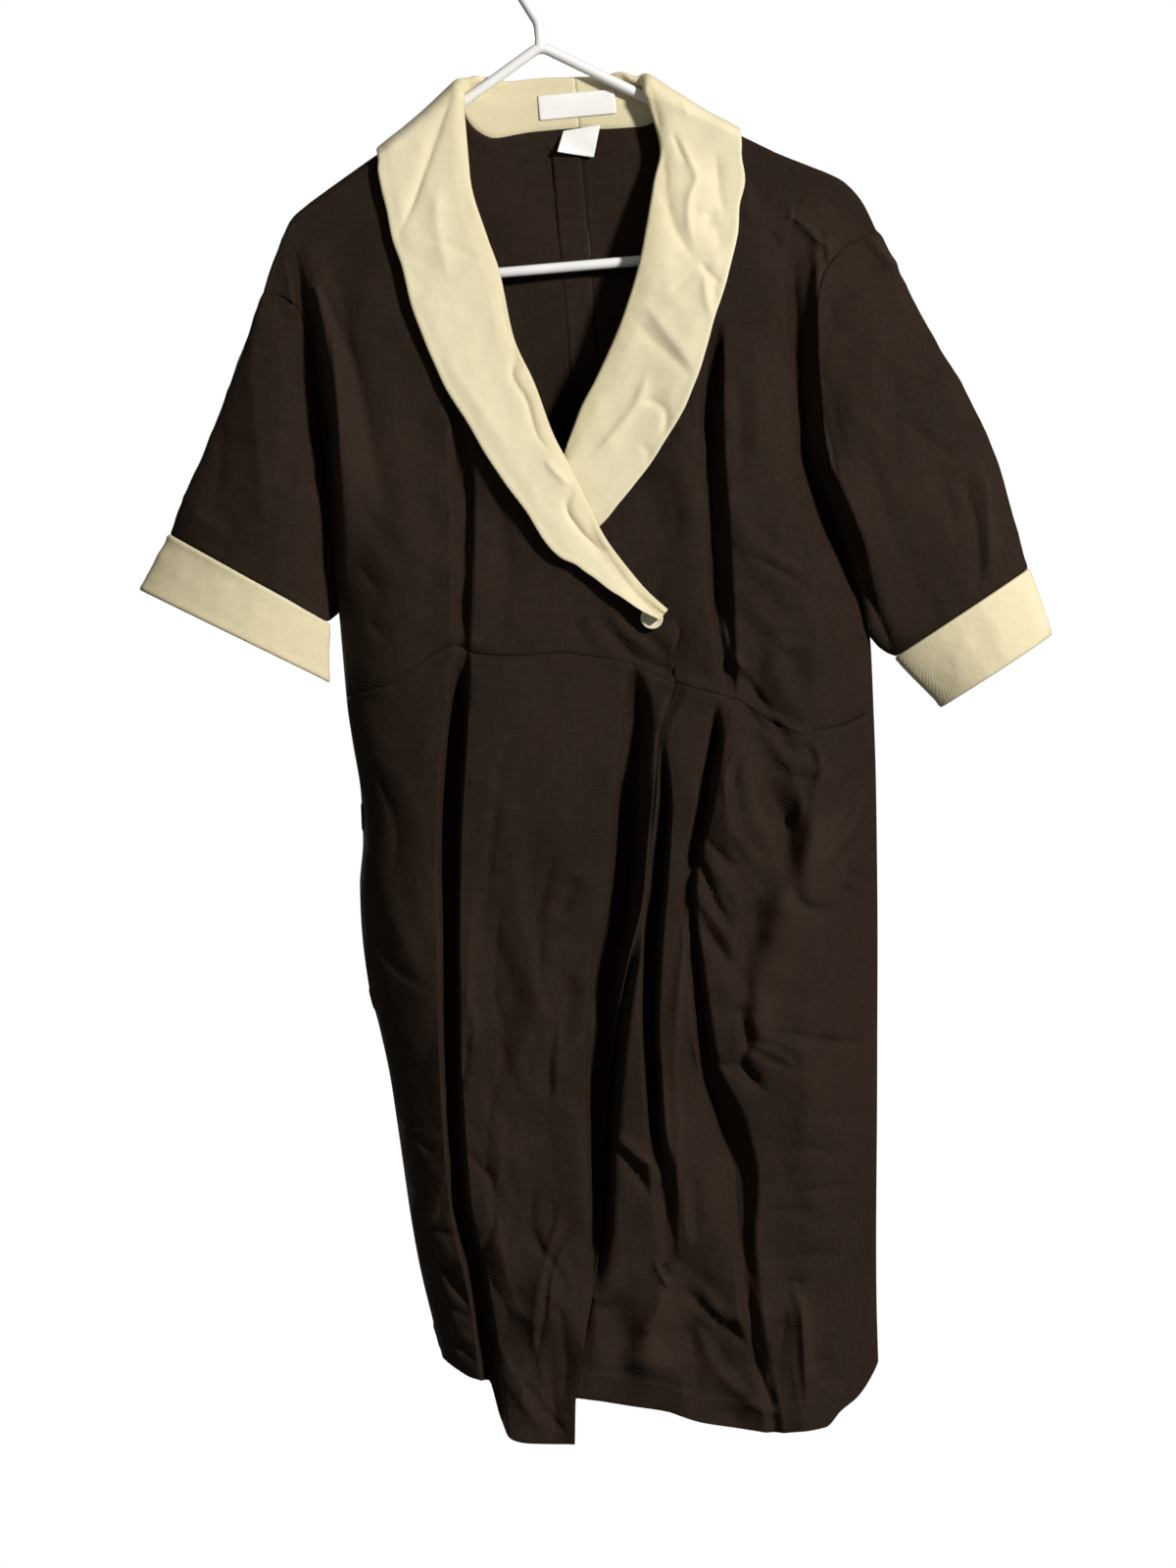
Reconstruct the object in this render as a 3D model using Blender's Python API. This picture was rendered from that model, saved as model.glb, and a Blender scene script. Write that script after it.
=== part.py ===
"""A short-sleeved, wrap-front waitress dress on a tube hanger.

The cloth hangs nearly flat. Its front and back are two depth maps over the hanging outline, and every
piece is a thin closed wall that follows them. Tables are in millimetres: X to the viewer's right, Y away
from the viewer, Z up, with the origin under the crown of the hanger's hook. Right and left in the names
of the pieces are the wearer's, so the right front is on the viewer's left.
"""

import math

import bpy
import numpy as np

MM = 0.001
X_AXIS = (1, 0, 0)
Y_AXIS = (0, 1, 0)
Z_AXIS = (0, 0, 1)

# Cloth and seams
CLOTH = 1.2
SEAM_GAP = 0.3
SEAM_TUCK = 0.4
WAIST_GAP = 0.45
SLEEVE_GAP = 0.5
COLLAR_GAP = 0.5
BACK_COLLAR_GAP = 0.8
COLLAR_CLOTH = 1.2
LABEL_CLOTH = 1.0

# Hanger
TUBE_RADIUS = 4.0
HANGER_TOP = -80.0
HANGER_BAR = -249.0
ARM_SLOPE = 0.60
END_RADIUS = 30.0
HOOK_RADIUS = 22.0

# Radius of the cloth's outer face where it goes over an arm of the hanger
ARM_CLEARANCE = 0.5
OVER_ARM = TUBE_RADIUS + ARM_CLEARANCE + CLOTH

# Outline of the hanging body
UNDERARM = -430.0
RIDGE_RISE = OVER_ARM * math.hypot(1, ARM_SLOPE)
RIDGE_X = (-188, -170, -90, -20, -4, 4, 20, 90, 166, 184)
RIDGE = [(x, HANGER_TOP - ARM_SLOPE * abs(x) + RIDGE_RISE) for x in RIDGE_X]
SHOULDER = [  # x, z of the ridge over the hanger's arms
    (-232, -266), (-226, -248), (-218, -228), (-208, -209), (-204, -200.3), (-199, -193.5), (-193.5, -189),
    *RIDGE,
    (220, -202), (234, -220), (242, -241), (248, -262),
]
LEFT_EDGE = [  # z, x of the viewer's left armhole, then of the side seam
    (-1140, -158), (-1066, -161), (-1013, -170), (-966, -175), (-916, -178), (-850, -182), (-797, -189),
    (-760, -194), (-714, -193), (-647, -185), (-560, -190), (-503, -190), (-430, -190), (-400, -188),
    (-360, -187), (-320, -190), (-275, -196), (-256, -206), (-248, -226),
]
RIGHT_EDGE = [  # z, x of the viewer's right armhole, then of the side seam
    (-1140, 167), (-1098, 169), (-1063, 171), (-883, 187), (-735, 200), (-617, 208), (-533, 211),
    (-490, 205), (-430, 195), (-400, 189), (-360, 187), (-320, 188), (-290, 192), (-262, 205), (-241, 242),
]
FRONT_DEPTH = [  # z, depth of the front at its middle
    (-1140, 60), (-1000, 58), (-850, 54), (-700, 50), (-560, 42), (-450, 36), (-350, 30), (-250, 22),
    (-130, 12),
]
BACK_DEPTH = [  # z, depth of the back at its middle
    (-1140, 42), (-900, 36), (-700, 30), (-560, 22), (-400, 17), (-250, 14), (-130, 12),
]
SIDE_ROUND = 62.0
SIDE_POWER = 0.62
ARMHOLE_SHARE = 0.42
SHOULDER_FALL = 150.0

# Seams and hems, x and z from the viewer's left to right
WAIST_OVER = [(-190, -560), (-150, -553), (-129, -548), (-104, -528), (-90, -536), (-60, -541), (-39, -541),
              (0, -547), (22, -552), (38, -560), (59, -572)]
WAIST_UNDER = [(-52, -545), (0, -550), (40, -562), (60, -572), (85, -581), (106, -589), (123, -602),
               (140, -616), (166, -617), (208, -605)]
WAIST_BACK = [(-190, -560), (-120, -552), (-40, -548), (26, -548), (100, -560), (160, -582), (208, -605)]
HEM_OVER = [(-161, -1066), (-142, -1078), (-125, -1085), (-120, -1112), (-112, -1126), (-90, -1131),
            (-66, -1133)]
HEM_UNDER = [(-105, -1098), (-61, -1099), (-28, -1093), (-10, -1106), (5, -1114), (40, -1128), (62, -1133),
             (92, -1138), (119, -1138), (137, -1126), (154, -1116), (169, -1098)]
HEM_BACK = [(-161, -1066), (-110, -1082), (-50, -1088), (20, -1094), (90, -1104), (140, -1102), (169, -1098)]
WRAP_EDGE = [  # z, x of the right front's free edge
    (-1140, -66), (-1110, -64), (-1080, -58), (-1030, -44), (-980, -34), (-920, -26), (-850, -13), (-790, 1),
    (-735, 20), (-701, 26), (-651, 36), (-607, 42), (-572, 59), (-552, 60), (-533, 66), (-522, 57),
]
WRAP_CORNER = [(66, -533), (60, -552), (59, -572)]
HIDDEN_CORNER = [(-50, -528), (-51, -538), (-52, -545)]
HIDDEN_EDGE = [(-1140, -105), (-900, -85), (-700, -62), (-545, -52)]

# Deep folds: z, x of the two lips, width of each wall, share of the depth
FOLDS_OVER = [
    (24, [(-533, -104, -91, 4, 4, 0.0), (-565, -111, -95, 4, 5, 0.6), (-601, -119, -100, 5, 5, 0.9),
          (-669, -129, -110, 5, 5, 1.0), (-761, -136, -119, 6, 5, 1.0), (-871, -143, -126, 6, 6, 0.9),
          (-939, -144, -127, 6, 6, 0.8), (-1017, -136, -118, 6, 6, 0.8), (-1090, -132, -114, 6, 6, 0.8)]),
    (30, [(-550, 23, 33, 3, 5, 0.0), (-591, 17, 44, 4, 16, 0.6), (-640, 8, 38, 5, 20, 0.85),
          (-701, -1, 28, 5, 18, 1.0), (-735, -9, 22, 5, 16, 1.0), (-776, -23, 10, 5, 14, 1.0),
          (-843, -33, -4, 5, 12, 1.0), (-920, -38, -16, 5, 10, 1.0), (-973, -42, -26, 5, 8, 0.9),
          (-1025, -52, -38, 4, 6, 0.0)]),
    (10, [(-340, -96, -76, 8, 8, 0.0), (-400, -97, -77, 7, 7, 0.9), (-470, -101, -83, 7, 7, 1.0),
          (-515, -105, -89, 6, 6, 0.8), (-545, -106, -92, 5, 5, 0.0)]),
    (12, [(-215, -208, -196, 5, 6, 0.0), (-256, -205, -190, 5, 7, 0.8), (-310, -202, -182, 6, 8, 1.0),
          (-400, -200, -180, 6, 8, 1.0), (-450, -197, -182, 6, 8, 0.5), (-500, -197, -184, 6, 8, 0.0)]),
]
FOLDS_UNDER = [
    (26, [(-615, 40, 48, 3, 4, 0.0), (-650, 37, 50, 4, 6, 0.8), (-709, 24, 43, 4, 6, 1.0),
          (-774, 16, 32, 4, 6, 1.0), (-847, 9, 24, 5, 6, 1.0), (-900, 8, 24, 5, 8, 0.8),
          (-953, 8, 30, 8, 10, 0.5), (-1010, 8, 30, 8, 10, 0.0)]),
    (16, [(-590, 86, 92, 3, 5, 0.0), (-615, 80, 92, 3, 6, 0.8), (-660, 67, 82, 3, 7, 1.0),
          (-740, 48, 62, 3, 7, 0.9), (-800, 49, 64, 4, 8, 0.9), (-860, 50, 68, 5, 10, 1.0),
          (-902, 58, 84, 6, 12, 1.0), (-944, 64, 90, 8, 10, 1.0), (-1000, 63, 84, 8, 10, 0.9),
          (-1060, 68, 86, 8, 10, 0.8), (-1120, 76, 92, 8, 10, 0.8)]),
    (15, [(-610, 104, 122, 8, 8, 0.0), (-650, 110, 138, 12, 10, 0.7), (-690, 108, 146, 16, 8, 1.0),
          (-740, 98, 126, 14, 8, 1.0), (-790, 86, 104, 8, 6, 0.8), (-850, 84, 96, 5, 5, 0.0)]),
    (15, [(-300, 104, 122, 6, 8, 0.0), (-340, 98, 118, 6, 8, 0.9), (-382, 94, 114, 6, 8, 1.0),
          (-444, 92, 112, 6, 8, 1.0), (-507, 90, 110, 6, 8, 1.0), (-560, 92, 108, 5, 6, 0.6),
          (-592, 94, 106, 4, 5, 0.0)]),
    (15, [(-215, 180, 200, 5, 6, 0.0), (-250, 172, 204, 6, 8, 0.8), (-290, 168, 204, 6, 8, 1.0),
          (-400, 167, 200, 6, 8, 1.0), (-450, 176, 208, 8, 8, 0.8), (-500, 190, 222, 8, 8, 0.4),
          (-540, 200, 226, 8, 8, 0.0)]),
]
FOLDS_BACK = [
    (16, [(-545, -96, -82, 4, 4, 0.0), (-600, -104, -84, 6, 6, 0.9), (-760, -112, -86, 8, 8, 1.0),
          (-950, -116, -84, 10, 10, 0.9), (-1120, -118, -80, 12, 12, 0.8)]),
    (18, [(-560, 118, 134, 4, 4, 0.0), (-620, 112, 132, 6, 6, 0.9), (-780, 104, 130, 8, 8, 1.0),
          (-950, 98, 128, 10, 10, 0.9), (-1130, 92, 128, 12, 12, 0.8)]),
    (12, [(-548, 20, 32, 4, 4, 0.0), (-640, 6, 24, 6, 6, 0.6), (-800, -8, 20, 10, 10, 1.0),
          (-1000, -14, 22, 12, 12, 1.0), (-1130, -16, 24, 12, 12, 0.9)]),
    (9, [(-190, -150, -138, 4, 6, 0.0), (-260, -146, -130, 6, 8, 0.8), (-420, -140, -122, 8, 10, 1.0),
         (-555, -128, -112, 6, 6, 0.0)]),
    (9, [(-190, 138, 150, 4, 6, 0.0), (-270, 134, 152, 6, 8, 0.9), (-420, 132, 154, 8, 10, 1.0),
         (-580, 128, 144, 6, 6, 0.0)]),
]

# Collar stations from the centre back to the tip: side of the garment (1 back, 0 over the arm, -1 front),
# x and z of the roll, x and z of the outer edge, height of the stand, height of the roll
COLLAR_RIGHT = [
    (1, 23.7, -105, 23.7, -180, 38, 5), (1, -6, -104, -20, -181, 38, 5), (1, -32, -102, -66, -179, 34, 5),
    (1, -50, -101, -104, -171, 18, 7), (0, -56, 0, -128, 0, 13, 11), (-1, -62, -128, -130, -168, 12, 7),
    (-1, -62, -175, -126, -200, 12, 5), (-1, -53, -223, -119, -243, 12, 5),
    (-1, -46, -251, -110, -285, 12, 5),
    (-1, -40, -300, -97, -326, 12, 5), (-1, -27, -338, -80, -363, 12, 5), (-1, -15, -381, -57, -408, 12, 5),
    (-1, -1, -415, -34, -446, 12, 5), (-1, 12, -450, -6, -480, 11, 5), (-1, 30, -482, 17, -500, 8, 6),
    (-1, 45, -503, 38, -514, 3.5, 7), (-1, 58, -517, 51.5, -524, 2, 8),
]
COLLAR_LEFT = [
    (1, 24.3, -105, 24.3, -180, 38, 5), (1, 44, -106, 52, -180, 38, 5), (1, 60, -107, 92, -176, 34, 5),
    (1, 68, -108, 122, -170, 20, 7), (0, 70, 0, 143, 0, 13, 11), (-1, 78, -134, 146, -174, 12, 7),
    (-1, 84, -166, 143, -196, 12, 5), (-1, 77, -192, 139, -222, 12, 5), (-1, 69, -223, 132, -252, 12, 5),
    (-1, 61, -252, 121, -279, 12, 5), (-1, 45, -292, 107, -316, 12, 5), (-1, 20, -338, 88, -360, 12, 5),
    (-1, -7, -388, 57, -403, 12, 5), (-1, -22, -424, 30, -432, 12, 5), (-1, -33, -456, 2, -460, 11, 5),
    (-1, -42, -490, -22, -492, 8, 5), (-1, -49, -516, -41, -516, 4, 5),
]
COLLAR_EDGE_LIFT = 2.5
TIP_LIFT = 5.8
TIP_STRETCH = 62.0
TIP_RISE = 34.0

# Sleeves: silhouettes and cuff lines, x and z
SLEEVE_RIGHT_TOP = [(-226, -248), (-232, -262), (-260, -320), (-300, -400), (-313, -425)]
SLEEVE_RIGHT_UNDER = [(-190, -430), (-194, -460), (-198, -502)]
CUFF_RIGHT_END = [(-339, -465), (-202, -547)]
SLEEVE_LEFT_TOP = [(242, -241), (259, -283), (283, -336), (306, -385), (321, -430), (329, -470), (335, -508)]
SLEEVE_LEFT_UNDER = [(195, -430), (206, -475), (217, -520), (228, -566)]
CUFF_LEFT_END = [(348, -560), (260, -607)]
SLEEVE_DEPTH = [(0.0, 18), (0.5, 24), (1.0, 21)]
SLEEVE_SHARES = [0, 0.05, 0.12, 0.22, 0.34, 0.46, 0.58, 0.7, 0.82, 0.92, 1.0]
SLEEVE_SETTLED = 0.3  # share of the sleeve over which its section turns from the armhole's to its own
CUFF_FLARE = 0.06
CUFF_PROUD = 1.0
CUFF_CLOTH = 1.8

# Rows of the panels: share of the armhole, then rows down the side seam
ARMHOLE_SHARES = [0.08, 0.15, 0.25, 0.36, 0.48, 0.6, 0.72, 0.83, 0.92, 1.0]
OVER_ARM_TURNS = [0, 30, 60, 90]
LEAST_SPAN = 6.0
SHOULDER_SHARES = [0, 0.08, 0.135, 0.17, 0.21, 0.45, 0.72, 1]
BACK_STATIONS = [0, 0.1, 0.25, 0.5, 0.85, 1.2, 1.6, 2.3, 3.1, 4.0]
SIDE_ROWS = 7
SKIRT_ROWS = 14
FREE_EDGE_POINTS = 3
NARROWEST = 0.012
UNDERLAP_BACK = 9.0
UNDERLAP_NEAR = 2.6
UNDERLAP_START = 1.5
UNDERLAP_SKIRT = 4.0
UNDERLAP_DROP = 7.0
HIDDEN_DEPTH = 12.0

# Small pieces inside the neck: x from and to, z from and to, in the hanging plane
PLEAT_X = (2.0, 22.5)
PLEAT_Z = (-158, -420)
NECK_LABEL = (24, -126, 58, 18)  # x and z of its middle, width, height
CARE_LABEL = [(12, -145), (40, -143), (33, -167), (6, -161)]
PLEAT_GAP = 0.5
LABEL_GAP = 0.35
CARE_LABEL_GAP = 0.45
CARE_CURL = 2.1
CORNER_CURL = 5.0

BUTTON_CENTRE = (46.0, -522.0)
BUTTON_RADIUS = 8.5
BUTTON_THICK = 2.6
BUTTON_BASE = 0.4
BUTTON_RIM = 0.7

# Finishes: colour and roughness
BROWN_CLOTH = (0.026, 0.016, 0.011), 0.8
CREAM_CLOTH = (0.83, 0.77, 0.48), 0.75
WHITE_LABEL = (0.86, 0.86, 0.84), 0.6
WHITE_PLASTIC = (0.86, 0.86, 0.84), 0.3
CREAM_PLASTIC = (0.83, 0.77, 0.48), 0.25


def clear_scene():
    for item in list(bpy.data.objects):
        bpy.data.objects.remove(item, do_unlink=True)


def material(name, colour, roughness):
    made = bpy.data.materials.new(name)
    made.use_nodes = True
    shader = made.node_tree.nodes["Principled BSDF"]
    shader.inputs["Base Color"].default_value = (*colour, 1.0)
    shader.inputs["Roughness"].default_value = roughness
    return made


class Line:
    """A smooth curve through a table's first column and one other, with no overshoot."""

    def __init__(self, table, column=1):
        rows = sorted((row[0], row[column]) for row in table)
        self.t = np.array([row[0] for row in rows], float)
        self.v = np.array([row[1] for row in rows], float)
        step = np.diff(self.t)
        rise = np.diff(self.v) / step
        slope = np.zeros(len(self.t))
        slope[0], slope[-1] = rise[0], rise[-1]
        same = rise[:-1] * rise[1:] > 0
        first = 2 * step[1:] + step[:-1]
        second = step[1:] + 2 * step[:-1]
        safe = np.where(same, rise[:-1], 1.0), np.where(same, rise[1:], 1.0)
        mean = (first + second) / (first / safe[0] + second / safe[1])
        slope[1:-1] = np.where(same, mean, 0.0)
        self.slope = slope

    def __call__(self, t):
        t = np.clip(np.asarray(t, float), self.t[0], self.t[-1])
        i = np.clip(np.searchsorted(self.t, t, side="right") - 1, 0, len(self.t) - 2)
        h = self.t[i + 1] - self.t[i]
        s = (t - self.t[i]) / h
        start = (1 + 2 * s) * (1 - s) ** 2 * self.v[i] + s * s * (3 - 2 * s) * self.v[i + 1]
        return start + h * s * (1 - s) * ((1 - s) * self.slope[i] - s * self.slope[i + 1])


def smoothstep(t):
    t = np.clip(t, 0.0, 1.0)
    return t * t * (3 - 2 * t)


shoulder = Line(SHOULDER)
left_edge = Line(LEFT_EDGE)
right_edge = Line(RIGHT_EDGE)
front_depth = Line(FRONT_DEPTH)
back_depth = Line(BACK_DEPTH)
wrap_edge = Line(WRAP_EDGE)
hidden_edge = Line(HIDDEN_EDGE)


def depth_of(x, z, middle):
    """Depth of the hanging cloth from the hanger's plane: over the arm, then out to the middle's depth."""
    below = shoulder(x) - z
    over = np.sqrt(np.clip(OVER_ARM**2 - (OVER_ARM - np.clip(below, 0, OVER_ARM)) ** 2, 0, None))
    inside = np.minimum(x - left_edge(z), right_edge(z) - x)
    rounding = (1 - (1 - np.clip(inside / SIDE_ROUND, 0, 1)) ** 2) ** SIDE_POWER
    held = 1 - smoothstep((-375 - z) / (-375 - UNDERARM))
    near = held + (1 - held) * rounding
    far = ARMHOLE_SHARE * held + (1 - ARMHOLE_SHARE * held) * rounding
    return over * near + (middle(z) - OVER_ARM) * smoothstep(below / SHOULDER_FALL) * far


def fold_lines(folds):
    """Each fold's depth and the smooth curves of its lips, walls and share against z."""
    return [(depth, [Line(rows, column) for column in range(1, 6)]) for depth, rows in folds]


def fold_depth(x, z, lines):
    total = np.zeros(np.broadcast(x, z).shape)
    for depth, (left, right, left_wall, right_wall, share) in lines:
        rise = smoothstep((x - left(z)) / left_wall(z))
        fall = smoothstep((right(z) - x) / right_wall(z))
        total = total + depth * share(z) * np.minimum(rise, fall)
    return total


folds_over = fold_lines(FOLDS_OVER)
folds_under = fold_lines(FOLDS_UNDER)
folds_back = fold_lines(FOLDS_BACK)


def over_y(x, z, folds=folds_over):
    """Outer face of the right front, which laps over."""
    depth = depth_of(x, z, front_depth)
    return -np.maximum(depth - fold_depth(x, z, folds), np.minimum(depth, OVER_ARM))


def under_y(x, z, folds=folds_under):
    """Outer face of the left front: behind the wrap, then level with the right front."""
    depth = depth_of(x, z, front_depth)
    shown = np.maximum(depth - fold_depth(x, z, folds), np.minimum(depth, OVER_ARM))
    past = x - wrap_edge(z)
    bodice = UNDERLAP_NEAR + (UNDERLAP_BACK - UNDERLAP_NEAR) * smoothstep((45 - past) / 60)
    bodice = bodice * smoothstep((-250 - z) / 110)
    edge = -over_y(wrap_edge(z), z) - UNDERLAP_SKIRT
    skirt = edge + (shown - edge) * smoothstep((past - UNDERLAP_START) / 10)
    skirt = skirt + (HIDDEN_DEPTH - skirt) * np.clip(-past / UNDERLAP_DROP, 0, 1)
    below_waist = smoothstep((-525 - z) / 30)
    return -((shown - bodice) * (1 - below_waist) + skirt * below_waist)


def back_y(x, z, folds=folds_back):
    depth = depth_of(x, z, back_depth)
    return np.maximum(depth - fold_depth(x, z, folds), np.minimum(depth, OVER_ARM))


def without_folds(front):
    """The same surface with its deep folds left out: the collar lies on this."""
    return lambda x, z: front(x, z, [])


def around(x, z):
    """Distance down the cloth from the ridge over the arm, for a point at x and z."""
    below = np.maximum(shoulder(x) - z, 0)
    arc = OVER_ARM * np.arccos(1 - np.minimum(below / OVER_ARM, 1))
    return arc + np.maximum(below - OVER_ARM, 0)


def below_ridge(g):
    """How far below the ridge the cloth is at a distance g down it: the other way round from around."""
    quarter = OVER_ARM * math.pi / 2
    turned = OVER_ARM * (1 - np.cos(np.minimum(np.abs(g), quarter) / OVER_ARM))
    return turned + np.maximum(np.abs(g) - quarter, 0)


def on_cloth(x, g, front):
    """The point at x and signed distance g from the ridge: in front where g is below 0."""
    z = shoulder(x) - below_ridge(g)
    y = front(x, z) if g < 0 else back_y(x, z)
    return np.array([float(x), float(y), float(z)])


def lifted(x, g, height, front):
    """The point at a height above the cloth's outer face, along its normal."""
    step = 0.5
    across = on_cloth(x + step, g, front) - on_cloth(x - step, g, front)
    along = on_cloth(x, g + step, front) - on_cloth(x, g - step, front)
    normal = np.cross(across, along)
    return on_cloth(x, g, front) + height * normal / np.linalg.norm(normal)


def grid_normals(grid, closed):
    """Unit normals of a grid of points, from the cells around each point."""
    ends = np.concatenate([grid, grid[:, :1]], axis=1) if closed else grid
    a = ends[:-1, :-1], ends[:-1, 1:], ends[1:, 1:], ends[1:, :-1]
    cell = np.cross(a[2] - a[0], a[3] - a[1])
    total = np.zeros_like(grid)
    count = cell.shape[1]
    for row in (0, 1):
        for col in (0, 1):
            place = (np.arange(count) + col) % grid.shape[1]
            rows = slice(row, row + cell.shape[0])
            for j in range(count):
                total[rows, place[j]] += cell[:, j]
    length = np.linalg.norm(total, axis=2, keepdims=True)
    return total / np.maximum(length, 1e-9)


def tucked(inner, closed):
    """The inner face with its free edges drawn in a little, to clear the next piece at a seam."""
    made = inner.copy()
    for edge, beside in ((0, 1), (-1, -2)):
        step = inner[beside] - inner[edge]
        made[edge] += SEAM_TUCK * step / np.linalg.norm(step, axis=-1, keepdims=True)
        if not closed:
            step = inner[:, beside] - inner[:, edge]
            made[:, edge] += SEAM_TUCK * step / np.linalg.norm(step, axis=-1, keepdims=True)
    return made


def wall(name, grid, thick, finish, keep=None, closed=False, split=0.0, square=()):
    """A closed wall: the grid moved in along its normals by the thickness, with rims round its free edges.

    keep clamps the moved points to one side of a seam, and split is the share of the thickness outside.
    square lists the rows and columns whose rim is square to a seam, and the axis across that seam.
    """
    normal = grid_normals(grid, closed)
    centre = grid.mean(axis=1, keepdims=True) if closed else 0.0
    from_centre = (grid - centre) * ([1, 1, 1] if closed else Y_AXIS)
    if (normal * from_centre).sum() < 0:
        normal = -normal
    for rows, cols, axis in square:
        axis = np.array(axis, float) / np.linalg.norm(axis)
        part = normal[rows, cols]
        part = part - (part @ axis)[..., None] * axis
        normal[rows, cols] = part / np.linalg.norm(part, axis=-1, keepdims=True)
    outer = grid + split * thick * normal
    inner = tucked(grid - (1 - split) * thick * normal, closed)
    if keep is not None:
        outer, inner = keep(outer), keep(inner)
    rows, cols = grid.shape[:2]
    points = np.concatenate([outer.reshape(-1, 3), inner.reshape(-1, 3)])
    shift = rows * cols
    faces = []

    def at(i, j):
        return i * cols + j % cols

    def quad(a, b, c, d):
        faces.extend([(a, b, c), (a, c, d)])

    last = cols if closed else cols - 1
    for i in range(rows - 1):
        for j in range(last):
            a, b, c, d = at(i, j), at(i, j + 1), at(i + 1, j + 1), at(i + 1, j)
            if np.linalg.norm(points[a] - points[c]) > np.linalg.norm(points[b] - points[d]):
                a, b, c, d = b, c, d, a
            quad(a, b, c, d)
            # The inner face is cut along the same diagonal as the outer one.
            faces.extend([(c + shift, b + shift, a + shift), (d + shift, c + shift, a + shift)])
    for j in range(last):
        quad(at(0, j + 1), at(0, j), at(0, j) + shift, at(0, j + 1) + shift)
        quad(at(rows - 1, j), at(rows - 1, j + 1), at(rows - 1, j + 1) + shift, at(rows - 1, j) + shift)
    if not closed:
        for i in range(rows - 1):
            quad(at(i, 0), at(i + 1, 0), at(i + 1, 0) + shift, at(i, 0) + shift)
            quad(at(i + 1, cols - 1), at(i, cols - 1), at(i, cols - 1) + shift, at(i + 1, cols - 1) + shift)
    add_mesh(name, points, faces, finish)


def add_mesh(name, points, faces, finish):
    faces = np.array(faces)
    corners = points[faces]
    volume = np.einsum("ij,ij->i", corners[:, 0], np.cross(corners[:, 1], corners[:, 2])).sum()
    if volume < 0:
        faces = faces[:, ::-1]
    mesh = bpy.data.meshes.new(name)
    mesh.from_pydata((points * MM).tolist(), [], faces.tolist())
    mesh.materials.append(material(name, *finish))
    mesh.update()
    made = bpy.data.objects.new(name, mesh)
    bpy.context.collection.objects.link(made)
    return made


def path(points, shares):
    """Points of a smooth path at shares of its length."""
    points = np.array(points, float)
    length = np.concatenate([[0], np.cumsum(np.linalg.norm(np.diff(points, axis=0), axis=1))])
    length /= length[-1]
    table = np.column_stack([length, points])
    return np.column_stack([Line(table, 1)(shares), Line(table, 2)(shares)])


def path_at(points):
    return lambda shares: path(points, shares)


def patch(top, bottom, left, right, down, u):
    """Points between four edges: top and bottom are functions of u, left and right a point for each row."""
    v = down[:, None, None]
    w = u[:, :, None]
    upper = np.stack([top(row) for row in u])
    lower = np.stack([bottom(row) for row in u])
    sides = (1 - w) * left[:, None] + w * right[:, None]
    corner_top = (1 - w) * left[0] + w * right[0]
    corner_low = (1 - w) * left[-1] + w * right[-1]
    return (1 - v) * upper + v * lower + sides - (1 - v) * corner_top - v * corner_low


def solve_columns(edges, down, keys, steps):
    """u for each row and column, so that the key columns follow their curves x(z).

    A key that is a number is a share of the way from the key before it to the panel's right edge.
    """
    samples = np.tile(np.linspace(0, 1, 121), (len(down), 1))
    rows = patch(*edges, down, samples)
    found = []
    for i in range(len(down)):
        x, z = rows[i, :, 0], rows[i, :, 1]
        us = [0.0]
        for k, key in enumerate(keys):
            least = us[-1] + NARROWEST
            most = 1 - NARROWEST * (len(keys) - k)
            if callable(key):
                place = np.interp(0, np.maximum.accumulate(x - key(z)), samples[i])
            else:
                place = us[-1] + (1 - us[-1]) * key
            us.append(float(np.clip(place, least, most)))
        us.append(1.0)
        row = [0.0]
        for a, b, n in zip(us[:-1], us[1:], steps):
            row.extend(a + (b - a) * (np.arange(n) + 1) / n)
        found.append(row)
    return np.array(found)


def lips(folds, index, parts=(0, 1, 2, 3)):
    """The key columns of a fold: its lips and the feet of its walls."""
    left, right, left_wall, right_wall, _ = folds[index][1]
    keys = [
        left,
        lambda z: left(z) + left_wall(z),
        lambda z: right(z) - right_wall(z),
        right,
    ]
    return [keys[part] for part in parts]


def from_left(distance):
    return lambda z: left_edge(z) + distance


def from_right(distance):
    return lambda z: right_edge(z) - distance


def with_depth(flat, depth):
    x, z = flat[..., 0], flat[..., 1]
    return np.stack([x, depth(x, z), z], axis=-1)


def front_of_seam(points):
    points[..., 1] = np.minimum(points[..., 1], -SEAM_GAP / 2)
    return points


def behind_seam(points):
    points[..., 1] = np.maximum(points[..., 1], SEAM_GAP / 2)
    return points


def arm_drop():
    """How far the rows over the arm lie below the ridge."""
    return OVER_ARM * (1 - np.cos(np.radians(OVER_ARM_TURNS)))


def over_the_arm(points, on_ridge):
    """Puts the first rows of a panel's x and z points round the arm of the hanger."""
    points[0, :on_ridge, 1] = shoulder(points[0, :on_ridge, 0])
    start = around(points[0, :, 0], points[0, :, 1])
    span = np.maximum(OVER_ARM * math.pi / 2 - start, LEAST_SPAN)
    for row, turn in enumerate(OVER_ARM_TURNS):
        points[row, :, 1] = shoulder(points[row, :, 0]) - below_ridge(start + span * turn / 90)
    return points


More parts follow.
